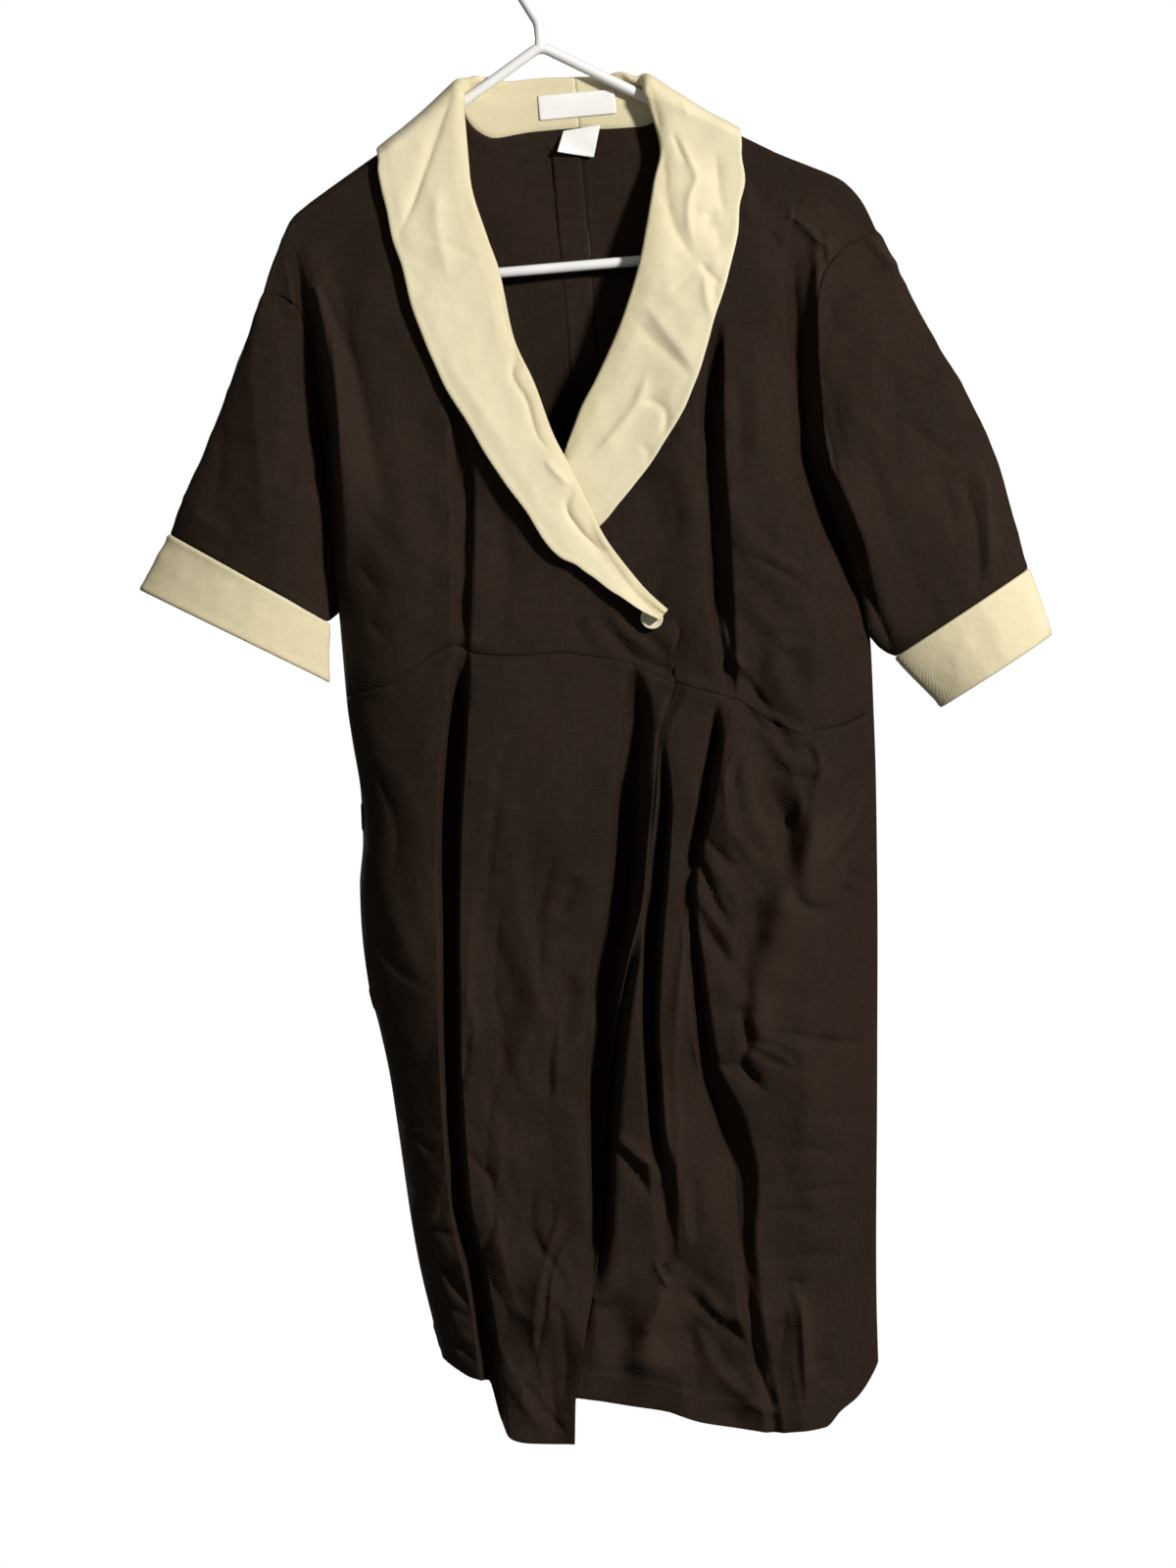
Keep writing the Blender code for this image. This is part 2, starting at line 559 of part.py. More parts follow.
def armhole(side, drop=0.0):
    """Points down an armhole: over the ridge, then down its seam. x is moved off the body by drop."""
    edge, sign, tip = (left_edge, -1, LEFT_EDGE[-1]) if side == "right" else (right_edge, 1, RIGHT_EDGE[-1])
    z = np.concatenate([np.linspace(tip[0], tip[0] - 40, 12), np.linspace(tip[0] - 45, UNDERARM, 30)])
    points = path(np.column_stack([edge(z), z]), np.array(ARMHOLE_SHARES))
    x = tip[1] - sign * np.array([0.0, 0.3, 0.8, 1.6])
    points = np.concatenate([np.column_stack([x, shoulder(x) - arm_drop()]), points])
    points[:, 0] += sign * drop
    return points


class Collar:
    """Half of the shawl collar: stations along it and a profile across each."""

    def __init__(self, table, front):
        self.front = front
        table = np.array(table, float)
        side, roll_x, roll_z, edge_x, edge_z, stand, height = table.T
        signed = [
            [s * around(x, z) if s else 0.0 for s, x, z in zip(side, xs, zs)]
            for xs, zs in ((roll_x, roll_z), (edge_x, edge_z))
        ]
        columns = np.column_stack([roll_x, signed[0], edge_x, signed[1], stand, height])
        self.ridge = float(np.flatnonzero(side == 0)[0])
        index = np.arange(len(table))
        self.lines = [Line(np.column_stack([index, columns[:, k]])) for k in range(columns.shape[1])]
        fine = np.linspace(self.ridge, index[-1], 400)
        seam = np.array([self.seam(t) for t in fine])
        run = np.concatenate([[0], np.cumsum(np.linalg.norm(np.diff(seam, axis=0), axis=1))])
        self.fine, self.run = fine, run

    def at(self, t):
        return [float(line(t)) for line in self.lines]

    def foot(self, t, distance):
        """x and g of the foot of the collar at a distance from the roll."""
        roll_x, roll_g, edge_x, edge_g, _, _ = self.at(t)
        width = math.hypot(edge_x - roll_x, edge_g - roll_g)
        share = distance / width
        return roll_x + (edge_x - roll_x) * share, roll_g + (edge_g - roll_g) * share

    def width(self, t):
        roll_x, roll_g, edge_x, edge_g, _, _ = self.at(t)
        return math.hypot(edge_x - roll_x, edge_g - roll_g)

    def seam(self, t, extra=0.0):
        """The point on the cloth where the stand is sewn on."""
        x, g = self.foot(t, self.at(t)[4] + extra)
        return on_cloth(x, g, self.front)

    def station(self, distance):
        """The station at a distance along the front seam from the shoulder."""
        return float(np.interp(distance, self.run, self.fine))

    def stand_height(self, t, distance):
        stand, height = self.at(t)[4:]
        inner = 0.35 * height - 0.5
        places = [0, 1.5, 0.25 * stand, 0.5 * stand, stand]
        return float(np.interp(distance, places, [inner, inner, 1.4, -0.1, -CLOTH / 2]))

    def profile(self, t):
        """Distance from the roll and height above the finish, from the seam round the roll to the edge."""
        stand, height = self.at(t)[4:]
        width = self.width(t)
        tip = smoothstep((self.run_at(t) - self.run[-1] + TIP_STRETCH) / TIP_RISE)
        edge = COLLAR_EDGE_LIFT + (TIP_LIFT - COLLAR_EDGE_LIFT) * float(tip)
        near = min(1.5, 0.12 * width)
        inner = 0.35 * height - 0.5
        quarter = max(0.25 * stand, near + 0.4)
        steps = [(stand, -CLOTH / 2), (0.5 * stand, -0.1), (quarter, 1.4), (near, inner), (0, 0.52 * height)]
        steps += [(near, 0.86 * height), (min(5, 0.3 * width), max(0.96 * height, edge))]
        for share in (0.45, 0.72, 1.0):
            drop = (0.96 * height - edge) * (1 - share) ** 1.5
            steps.append((share * width, edge + max(drop, 0.0)))
        return steps

    def run_at(self, t):
        return float(np.interp(t, self.fine, self.run))

    def row(self, t):
        return [lifted(*self.foot(t, d), h, self.front) for d, h in self.profile(t)]


def seam_distances(total):
    """Distances along the front seam from the shoulder: close together over the arm."""
    start = list(np.radians(OVER_ARM_TURNS) * OVER_ARM)
    rows = len(ARMHOLE_SHARES) + SIDE_ROWS - FREE_EDGE_POINTS
    rest = np.linspace(start[-1], total, rows + 1)
    return start + list(rest[1:])


def front_bodice(name, side, collar, depth, corner, waist, keys, steps, finish):
    """One front bodice panel between its armhole and side seam and its neck seam and free edge."""
    edge = left_edge if side == "right" else right_edge
    hole = armhole(side)
    end = waist[0] if side == "right" else waist[-1]
    down_side = np.linspace(UNDERARM, end[1], SIDE_ROWS + 1)[1:]
    outer = np.concatenate([hole, np.column_stack([edge(down_side), down_side])])
    distances = seam_distances(collar.run[-1])
    stations = [collar.station(d) for d in distances]
    # The panel's edge stands off the stand's own edge by the seam gap.
    neck = np.array([collar.seam(t, COLLAR_GAP) for t in stations])[:, [0, 2]]
    free = np.array(corner)
    inner = np.concatenate([neck, free])
    down = np.linspace(0, 1, len(outer))
    top_points = [hole[0]] + [(x, shoulder(x)) for x in np.linspace(hole[0, 0], inner[0, 0], 9)[1:]]
    top_points = np.array(top_points, float)
    if side == "right":
        edges = (path_at(top_points), path_at(waist), outer, inner)
    else:
        edges = (path_at(top_points[::-1]), path_at(waist), inner, outer)
    u = solve_columns(edges, down, keys, steps)
    grid = with_depth(over_the_arm(patch(*edges, down, u), u.shape[1]), depth)
    seam_col = 0 if side == "right" else -1
    grid[0, :, 1] = -SEAM_GAP / 2
    grid[len(hole) - 1:, seam_col, 1] = -SEAM_GAP / 2
    square = [(slice(0, len(hole)), seam_col, X_AXIS), (-1, slice(None), Z_AXIS)]
    if side == "right":
        square.append((slice(-FREE_EDGE_POINTS, None), -1, X_AXIS))
    wall(name, grid, CLOTH, finish, front_of_seam, square=square)
    return stations, grid[-1]


def skirt(name, depth, waist_row, hem, left, right, keys, steps, keep, finish, rows=SKIRT_ROWS):
    """A skirt panel under a waist seam whose columns it shares."""
    down = np.linspace(0, 1, rows + 1)
    down = np.sort(np.concatenate([down, [0.02]]))
    top = waist_row[:, [0, 2]] - np.array([0, WAIST_GAP])
    hem_points = path(hem, np.linspace(0, 1, 60))
    low_left, low_right = hem_points[0], hem_points[-1]
    rim = []
    for edge, high, low in ((left, top[0], low_left), (right, top[-1], low_right)):
        z = high[1] + (low[1] - high[1]) * down
        x = edge(z)
        x = x + (high[0] - x[0]) * (1 - down) ** 4 + (low[0] - x[-1]) * down**4
        rim.append(np.column_stack([x, z]))
    span = np.linspace(0, 1, len(top))

    def upper(u):
        return np.column_stack([np.interp(u, span, top[:, 0]), np.interp(u, span, top[:, 1])])

    edges = (upper, path_at(hem), rim[0], rim[1])
    u = solve_columns(edges, down, keys, steps)
    blend = smoothstep(down / 0.06)[:, None]
    u = span[None, :] * (1 - blend) + u * blend
    grid = with_depth(patch(*edges, down, u), depth)
    grid[0, :, 1] = waist_row[:, 1]
    square = [(0, slice(None), Z_AXIS), (slice(None), -1, X_AXIS)]
    wall(name, grid, CLOTH, finish, keep, square=square)


def back_half(name, side, collar, finish):
    """Half of the back bodice, from its armhole and side seam to the centre-back seam."""
    edge, sign = (left_edge, -1) if side == "right" else (right_edge, 1)
    hole = armhole(side)
    end_z = WAIST_BACK[0][1] if side == "right" else WAIST_BACK[-1][1]
    down_side = np.linspace(UNDERARM, end_z, SIDE_ROWS + 1)[1:]
    outer = np.concatenate([hole, np.column_stack([edge(down_side), down_side])])
    stations = collar.ridge - np.array(BACK_STATIONS)
    neck = np.array([collar.seam(t, BACK_COLLAR_GAP) for t in stations])[:, [0, 2]]
    shoulder_steps = len(SHOULDER_SHARES) - 1
    xs = hole[0, 0] + (neck[0, 0] - hole[0, 0]) * np.array(SHOULDER_SHARES)
    ridge = np.column_stack([xs, shoulder(xs)])
    ridge[0] = hole[0]
    top_points = np.concatenate([ridge, neck[1:]])
    cols = len(top_points)
    span = np.linspace(0, 1, cols)
    middle = neck[-1, 0]
    down = np.linspace(0, 1, len(outer))
    waist = path(WAIST_BACK, np.linspace(0, 1, 81))
    low_x = np.linspace(outer[-1, 0], middle, cols)
    low = np.column_stack([low_x, np.interp(low_x, waist[:, 0], waist[:, 1])])
    near_top = down**1.6
    fall = neck[-1, 1] + (low[-1, 1] - neck[-1, 1]) * near_top
    centre = np.column_stack([np.full(len(down), middle), fall])

    def spread(points):
        return lambda u: np.column_stack([np.interp(u, span, points[:, k]) for k in (0, 1)])

    edges = (spread(top_points), spread(low), outer, centre)
    u = np.tile(span, (len(down), 1))
    u = u ** (1 + 0.25 * smoothstep(down * 1.5))[:, None]
    flat = patch(*edges, down, u)
    for row in range(1, len(OVER_ARM_TURNS)):
        clear = BACK_COLLAR_GAP + row * LEAST_SPAN / (len(OVER_ARM_TURNS) - 1)
        flat[row, len(xs) - 1 :, 0] = [collar.seam(t, clear)[0] for t in stations]
    grid = with_depth(over_the_arm(flat, len(xs)), back_y)
    grid[0, : shoulder_steps + 1, 1] = SEAM_GAP / 2
    grid[len(hole) - 1:, 0, 1] = SEAM_GAP / 2
    square = [(slice(0, len(hole)), 0, X_AXIS), (-1, slice(None), Z_AXIS), (slice(None), -1, X_AXIS)]
    wall(name, grid, CLOTH, finish, behind_seam, square=square)
    return grid[-1], stations


def collar_half(name, collar, front_stations, back_stations, finish):
    stations = list(back_stations[::-1]) + list(front_stations[1:])
    grid = np.array([collar.row(t) for t in stations])
    wall(name, grid, COLLAR_CLOTH, finish, split=0.5)


def sleeve(side, top, under, cuff_end, finish, cuff_finish):
    """A sleeve and its cuff: rings from the armhole to the cuff's edge, front half then back half."""
    front = over_y if side == "right" else under_y
    body_hole, hole = armhole(side), armhole(side, drop=SLEEVE_GAP)
    straight = np.cumsum(np.concatenate([[0], np.linalg.norm(np.diff(hole, axis=0), axis=1)]))
    shares = straight / straight[-1]
    along = np.array(SLEEVE_SHARES)
    high = path(top, along)
    low = path(under, along)
    high[:, 0] += np.sign(high[0, 0]) * SLEEVE_GAP * (1 - along)
    low[:, 0] += np.sign(low[0, 0]) * SLEEVE_GAP
    high[0], low[0] = hole[0], hole[-1]
    even = (1 - np.cos(np.pi * np.linspace(0, 1, len(shares)))) / 2
    depth_line = Line(SLEEVE_DEPTH)
    rounding = np.sin(np.pi * even) ** SIDE_POWER
    rings = []
    for i, f in enumerate(along):
        mix = smoothstep(f / SLEEVE_SETTLED)
        v = shares * (1 - mix) + even * mix
        line = high[i] + (low[i] - high[i]) * v[:, None]
        bow = hole - (hole[0] + (hole[-1] - hole[0]) * shares[:, None])
        flat = line + bow * (1 - f) ** 3
        halves = []
        for surface, sign in ((front, -1), (back_y, 1)):
            start = np.abs(surface(body_hole[:, 0], body_hole[:, 1]))
            start[0] = start[-1] = 0.0
            y = start * (1 - mix) + depth_line(f) * rounding * mix
            halves.append(np.column_stack([flat[:, 0], sign * y, flat[:, 1]]))
        rings.append(np.concatenate([halves[0], halves[1][-2:0:-1]]))
    grid = np.array(rings)
    axis = high[-1] - high[-2]
    square = [(0, slice(None), X_AXIS), (-1, slice(None), (axis[0], 0, axis[1]))]
    wall("sleeve_" + side, grid, CLOTH, finish, closed=True, square=square)
    cuff(side, grid, high, low, cuff_end, even, cuff_finish)


def cuff(side, sleeve_grid, high, low, cuff_end, even, finish):
    """The cuff goes on from the sleeve's last ring, a little proud of it."""
    last = sleeve_grid[-1]
    start = np.array([high[-1], low[-1]])
    end = np.array(cuff_end, float)
    axis = (end - start).mean(axis=0)
    length = np.linalg.norm(axis)
    centre = last.mean(axis=0)
    rings = []
    count = len(even)
    for f in (2 * SEAM_GAP / length, 0.5, 1.0):
        line = start + (end - start) * f
        flat = line[0] + (line[1] - line[0]) * even[:, None]
        depth = np.abs(last[:count, 1]) * (1 + CUFF_FLARE * f)
        out = flat - centre[[0, 2]]
        across = (line[0] - line[1]) / np.linalg.norm(line[0] - line[1])
        push = np.sign(out @ across)[:, None] * across * CUFF_PROUD * np.abs(np.cos(np.pi * even))[:, None]
        flat = flat + push
        halves = []
        for sign in (-1, 1):
            y = sign * (depth + CUFF_PROUD * np.sin(np.pi * even))
            halves.append(np.column_stack([flat[:, 0], y, flat[:, 1]]))
        rings.append(np.concatenate([halves[0], halves[1][-2:0:-1]]))
    square = [(0, slice(None), (axis[0], 0, axis[1]))]
    wall("cuff_" + side, np.array(rings), CUFF_CLOTH, finish, closed=True, square=square)


def back_pleat(finish):
    """The pressed allowance beside the centre-back seam, on the back's inner face."""
    x, z = np.meshgrid(np.linspace(*PLEAT_X, 4), np.linspace(*PLEAT_Z, 9))
    y = back_y(x, z) - CLOTH - PLEAT_GAP
    wall("back_pleat", np.stack([x, y, z], axis=-1), CLOTH, finish)


def neck_label(collars, finish):
    """A bare label on the inside of the stand at the centre back."""
    middle, level, width, height = NECK_LABEL
    xs = np.linspace(middle - width / 2, middle + width / 2, 9)
    zs = np.linspace(level + height / 2, level - height / 2, 4)
    rows = []
    for z in zs:
        row = []
        for x in xs:
            inner = collars[0].stand_height(0, -105 - z) - COLLAR_CLOTH / 2 - SEAM_GAP - LABEL_GAP
            row.append(lifted(x, around(x, z), inner, over_y))
        rows.append(row)
    wall("neck_label", np.array(rows), LABEL_CLOTH, finish)


def care_label(finish):
    """A bare care label that hangs from the neck seam, its lower left corner curled forward."""
    corners = np.array(CARE_LABEL, float)
    rows = []
    for v in np.linspace(0, 1, 6):
        row = []
        for u in np.linspace(0, 1, 6):
            top = corners[0] + (corners[1] - corners[0]) * u
            low = corners[3] + (corners[2] - corners[3]) * u
            x, z = top + (low - top) * v
            curl = CARE_CURL * float(smoothstep(v / 0.5)) + CORNER_CURL * max(0.0, v - u) ** 2 + v * v
            row.append((x, back_y(x, z) - CLOTH - CARE_LABEL_GAP - curl, z))
        rows.append(row)
    wall("care_label", np.array(rows), LABEL_CLOTH, finish)


def button(finish):
    """A dished round button on the right front, partly under the collar's tip."""
    x, z = BUTTON_CENTRE
    middle = lifted(x, -around(x, z), 0, over_y)
    facing = middle - lifted(x, -around(x, z), -1, over_y)
    facing /= np.linalg.norm(facing)
    across = np.cross([0, 0, 1], facing)
    across /= np.linalg.norm(across)
    up = np.cross(facing, across)
    base = BUTTON_BASE
    top, dish = base + BUTTON_THICK, base + BUTTON_THICK - BUTTON_RIM
    profile = [(0, base), (BUTTON_RADIUS - 1, base), (BUTTON_RADIUS, base + 0.8), (BUTTON_RADIUS, top - 0.5),
               (BUTTON_RADIUS - 1, top), (BUTTON_RADIUS - 2.4, dish), (0, dish)]
    sides = 24
    points, faces = [], []
    for radius, height in profile:
        turns = 1 if radius == 0 else sides
        for k in range(turns):
            angle = 2 * math.pi * k / sides
            around_axis = math.cos(angle) * across + math.sin(angle) * up
            points.append(middle + radius * around_axis + height * facing)
    starts = [0] + [1 + sides * k for k in range(6)]
    for k in range(sides):
        n = (k + 1) % sides
        faces.append((0, 1 + n, 1 + k))
        for a, b in zip(starts[1:5], starts[2:6]):
            faces.extend([(a + k, a + n, b + n), (a + k, b + n, b + k)])
        faces.append((starts[5] + k, starts[5] + n, starts[6]))
    add_mesh("button", np.array(points), faces, finish)


def arc(centre, radius, start, end, steps):
    return [
        (centre[0] + radius * math.cos(a), centre[1] + radius * math.sin(a))
        for a in np.radians(np.linspace(start, end, steps + 1))
    ]


def tube(name, route, closed, finish, sides=10):
    """A round tube along a route of x and z points in the hanger's plane."""
    route = np.array(route, float)
    ahead = np.roll(route, -1, axis=0) - route
    behind = route - np.roll(route, 1, axis=0)
    if not closed:
        ahead[-1], behind[0] = behind[-1], ahead[0]
    along = ahead / np.linalg.norm(ahead, axis=1)[:, None] + behind / np.linalg.norm(behind, axis=1)[:, None]
    along /= np.linalg.norm(along, axis=1)[:, None]
    points, faces = [], []
    for (x, z), (dx, dz) in zip(route, along):
        for k in range(sides):
            angle = 2 * math.pi * (k + 0.5) / sides
            out, side = TUBE_RADIUS * math.cos(angle), TUBE_RADIUS * math.sin(angle)
            points.append((x - dz * out, side, z + dx * out))
    count = len(route)
    for i in range(count if closed else count - 1):
        for k in range(sides):
            a, b = i * sides + k, i * sides + (k + 1) % sides
            c, d = ((i + 1) % count) * sides + (k + 1) % sides, ((i + 1) % count) * sides + k
            faces.extend([(a, b, c), (a, c, d)])
    if not closed:
        for k in range(1, sides - 1):
            faces.append((0, k + 1, k))
            last = (count - 1) * sides
            faces.append((last, last + k, last + k + 1))
    return add_mesh(name, np.array(points), faces, finish)


def hanger(finish):
    """The tube hanger: a triangle with round ends, and a hook fused to its top."""
    tilt = math.atan(ARM_SLOPE)
    tangent = END_RADIUS / math.tan(tilt / 2)
    end_x = (HANGER_TOP - HANGER_BAR) / ARM_SLOPE - tangent
    centre = (end_x, HANGER_BAR + END_RADIUS)
    turn = math.degrees(tilt)
    route = arc((0, HANGER_TOP - 12 / math.cos(tilt)), 12, 90 + turn, 90 - turn, 5)
    route += arc(centre, END_RADIUS, 90 - turn, -90, 9)
    route += [(0, HANGER_BAR)]
    route += [(-x, z) for x, z in reversed(arc(centre, END_RADIUS, 90 - turn, -90, 9))]
    frame = tube("hanger", route, True, finish)
    crown = HOOK_RADIUS - TUBE_RADIUS
    hook_centre = (0, -crown)
    stem = [(0, HANGER_TOP - 2), (0, HANGER_TOP + 16), (-3, HANGER_TOP + 24)]
    bend = arc(hook_centre, HOOK_RADIUS, 232, -12, 16)
    hook = tube("hook_shape", stem + bend, False, finish)
    hook.hide_render = True
    hook.display_type = "WIRE"
    join = frame.modifiers.new("hook", "BOOLEAN")
    join.operation = "UNION"
    join.object = hook


def main():
    clear_scene()
    right = Collar(COLLAR_RIGHT, without_folds(over_y))
    left = Collar(COLLAR_LEFT, without_folds(under_y))

    over_keys = [*map(from_left, (3, 12, 20, 26, 33)), *lips(folds_over, 2), 0.42, 0.59, 0.2]
    pleat = lips(folds_over, 0)
    band = lips(folds_over, 1, (0, 1))
    stations_right, waist_over = front_bodice(
        "bodice_front_right", "right", right, over_y, WRAP_CORNER, WAIST_OVER, over_keys,
        [1, 1, 1, 1, 1, 1, 1, 1, 1, 2, 2, 1, 1], BROWN_CLOTH
    )
    skirt("skirt_front_right", over_y, waist_over, HEM_OVER, left_edge, wrap_edge,
          [from_left(3), from_left(14), *pleat, lambda z: pleat[3](z) * 0.45 + band[0](z) * 0.55, *band],
          [1, 1, 2, 1, 1, 1, 3, 2, 1, 2], front_of_seam, BROWN_CLOTH)

    hole_lips = lips(folds_under, 4)
    under_keys = [
        0.427, *lips(folds_under, 3), lambda z: np.minimum(hole_lips[0](z), right_edge(z) - 26),
        lambda z: np.minimum(hole_lips[1](z), right_edge(z) - 14),
    ]
    stations_left, waist_under = front_bodice(
        "bodice_front_left", "left", left, under_y, HIDDEN_CORNER, WAIST_UNDER, under_keys,
        [3, 3, 1, 1, 1, 3, 1, 3], BROWN_CLOTH
    )
    second = lips(folds_under, 0)
    third = lips(folds_under, 1)
    skirt("skirt_front_left", under_y, waist_under, HEM_UNDER, hidden_edge, right_edge,
          [lambda z: wrap_edge(z) - UNDERLAP_DROP, wrap_edge, second[0], second[1], second[3],
           third[0], third[1], third[3], from_right(60), from_right(18), from_right(4)],
          [2, 1, 1, 1, 1, 1, 1, 1, 2, 3, 1, 1], front_of_seam, BROWN_CLOTH)

    waist_right, back_right = back_half("bodice_back_right", "right", right, BROWN_CLOTH)
    waist_left, back_left = back_half("bodice_back_left", "left", left, BROWN_CLOTH)
    waist_back = np.concatenate([waist_right[:-1], waist_left[::-1]])
    pleats = [lips(folds_back, k) for k in range(3)]
    skirt("skirt_back", back_y, waist_back, HEM_BACK, left_edge, right_edge,
          [from_left(3), from_left(16), *pleats[0], *pleats[2], *pleats[1], from_right(16), from_right(3)],
          [1, 1, 5, 1, 1, 1, 5, 1, 3, 1, 5, 1, 1, 1, 2, 1, 1], behind_seam, BROWN_CLOTH)

    collar_half("collar_right", right, stations_right, back_right, CREAM_CLOTH)
    collar_half("collar_left", left, stations_left, back_left, CREAM_CLOTH)
    sleeve("right", SLEEVE_RIGHT_TOP, SLEEVE_RIGHT_UNDER, CUFF_RIGHT_END, BROWN_CLOTH, CREAM_CLOTH)
    sleeve("left", SLEEVE_LEFT_TOP, SLEEVE_LEFT_UNDER, CUFF_LEFT_END, BROWN_CLOTH, CREAM_CLOTH)
    back_pleat(BROWN_CLOTH)
    neck_label((right, left), WHITE_LABEL)
    care_label(WHITE_LABEL)
    button(CREAM_PLASTIC)
    hanger(WHITE_PLASTIC)


main()
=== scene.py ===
"""The looks of a short-sleeved, wrap-front waitress dress on a tube hanger.

Every piece stands for the CAD node of its name and keeps that node's form: the same tables and depth maps,
in millimetres, are read at a finer step, and creases, seams, hems and stitches are added to them. X is to
the viewer's right, Y away from the viewer and Z up, with the origin under the crown of the hanger's hook.
"""

import math

import bpy
import numpy as np
from mathutils import Matrix, Vector

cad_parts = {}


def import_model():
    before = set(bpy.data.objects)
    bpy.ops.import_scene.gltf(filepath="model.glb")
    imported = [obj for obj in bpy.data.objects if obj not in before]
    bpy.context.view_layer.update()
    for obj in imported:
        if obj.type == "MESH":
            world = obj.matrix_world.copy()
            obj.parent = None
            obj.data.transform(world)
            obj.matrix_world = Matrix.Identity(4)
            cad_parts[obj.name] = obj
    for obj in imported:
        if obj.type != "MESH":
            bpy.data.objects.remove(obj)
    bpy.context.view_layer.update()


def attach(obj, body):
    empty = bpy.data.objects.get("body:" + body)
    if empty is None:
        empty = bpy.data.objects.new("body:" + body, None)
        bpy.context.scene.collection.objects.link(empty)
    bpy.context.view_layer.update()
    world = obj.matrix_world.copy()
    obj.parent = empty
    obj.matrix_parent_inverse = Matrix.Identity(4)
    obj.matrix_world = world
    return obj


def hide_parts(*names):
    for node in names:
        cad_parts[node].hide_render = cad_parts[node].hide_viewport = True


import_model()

MM = 0.001
Y_AXIS = (0, 1, 0)
ALL_EDGES = ("top", "bottom", "left", "right")

# Cloth and seams
CLOTH = 1.2
SEAM_GAP = 0.3
WAIST_GAP = 0.45
SLEEVE_GAP = 0.5
COLLAR_GAP = 0.5
BACK_COLLAR_GAP = 0.8
COLLAR_CLOTH = 1.2

# Hanger
TUBE_RADIUS = 4.0
HANGER_TOP = -80.0
HANGER_BAR = -249.0
ARM_SLOPE = 0.60
END_RADIUS = 30.0
HOOK_RADIUS = 22.0
TUBE_SIDES = 24

# Radius of the cloth's outer face where it goes over an arm of the hanger
ARM_CLEARANCE = 0.5
OVER_ARM = TUBE_RADIUS + ARM_CLEARANCE + CLOTH

# Outline of the hanging body
UNDERARM = -430.0
RIDGE_RISE = OVER_ARM * math.hypot(1, ARM_SLOPE)
RIDGE_X = (-188, -170, -90, -20, -4, 4, 20, 90, 166, 184)
RIDGE = [(x, HANGER_TOP - ARM_SLOPE * abs(x) + RIDGE_RISE) for x in RIDGE_X]
SHOULDER = [  # x, z of the ridge over the hanger's arms
    (-232, -266), (-226, -248), (-218, -228), (-208, -209), (-204, -200.3), (-199, -193.5), (-193.5, -189),
    *RIDGE,
    (220, -202), (234, -220), (242, -241), (248, -262),
]
LEFT_EDGE = [  # z, x of the viewer's left armhole, then of the side seam
    (-1140, -158), (-1066, -161), (-1013, -170), (-966, -175), (-916, -178), (-850, -182), (-797, -189),
    (-760, -194), (-714, -193), (-647, -185), (-560, -190), (-503, -190), (-430, -190), (-400, -188),
    (-360, -187), (-320, -190), (-275, -196), (-256, -206), (-248, -226),
]
RIGHT_EDGE = [  # z, x of the viewer's right armhole, then of the side seam
    (-1140, 167), (-1098, 169), (-1063, 171), (-883, 187), (-735, 200), (-617, 208), (-533, 211),
    (-490, 205), (-430, 195), (-400, 189), (-360, 187), (-320, 188), (-290, 192), (-262, 205), (-241, 242),
]
FRONT_DEPTH = [  # z, depth of the front at its middle
    (-1140, 60), (-1000, 58), (-850, 54), (-700, 50), (-560, 42), (-450, 36), (-350, 30), (-250, 22),
    (-130, 12),
]
BACK_DEPTH = [  # z, depth of the back at its middle
    (-1140, 42), (-900, 36), (-700, 30), (-560, 22), (-400, 17), (-250, 14), (-130, 12),
]
SIDE_ROUND = 62.0
SIDE_POWER = 0.62
ARMHOLE_SHARE = 0.42
SHOULDER_FALL = 150.0
HELD_FLAT_TO = -375.0  # z down to which the cloth at the armhole hangs flat from the arm

# Seams and hems, x and z from the viewer's left to right
WAIST_OVER = [(-190, -560), (-150, -553), (-129, -548), (-104, -528), (-90, -536), (-60, -541), (-39, -541),
              (0, -547), (22, -552), (38, -560), (59, -572)]
WAIST_UNDER = [(-52, -545), (0, -550), (40, -562), (60, -572), (85, -581), (106, -589), (123, -602),
               (140, -616), (166, -617), (208, -605)]
WAIST_BACK = [(-190, -560), (-120, -552), (-40, -548), (26, -548), (100, -560), (160, -582), (208, -605)]
HEM_OVER = [(-161, -1066), (-142, -1078), (-125, -1085), (-120, -1112), (-112, -1126), (-90, -1131),
            (-66, -1133)]
HEM_UNDER = [(-105, -1098), (-61, -1099), (-28, -1093), (-10, -1106), (5, -1114), (40, -1128), (62, -1133),
             (92, -1138), (119, -1138), (137, -1126), (154, -1116), (169, -1098)]
HEM_BACK = [(-161, -1066), (-110, -1082), (-50, -1088), (20, -1094), (90, -1104), (140, -1102), (169, -1098)]
WRAP_EDGE = [  # z, x of the right front's free edge
    (-1140, -66), (-1110, -64), (-1080, -58), (-1030, -44), (-980, -34), (-920, -26), (-850, -13), (-790, 1),
    (-735, 20), (-701, 26), (-651, 36), (-607, 42), (-572, 59), (-552, 60), (-533, 66), (-522, 57),
]
WRAP_CORNER = [(66, -533), (60, -552), (59, -572)]
HIDDEN_CORNER = [(-50, -528), (-51, -538), (-52, -545)]
HIDDEN_EDGE = [(-1140, -105), (-900, -85), (-700, -62), (-545, -52)]

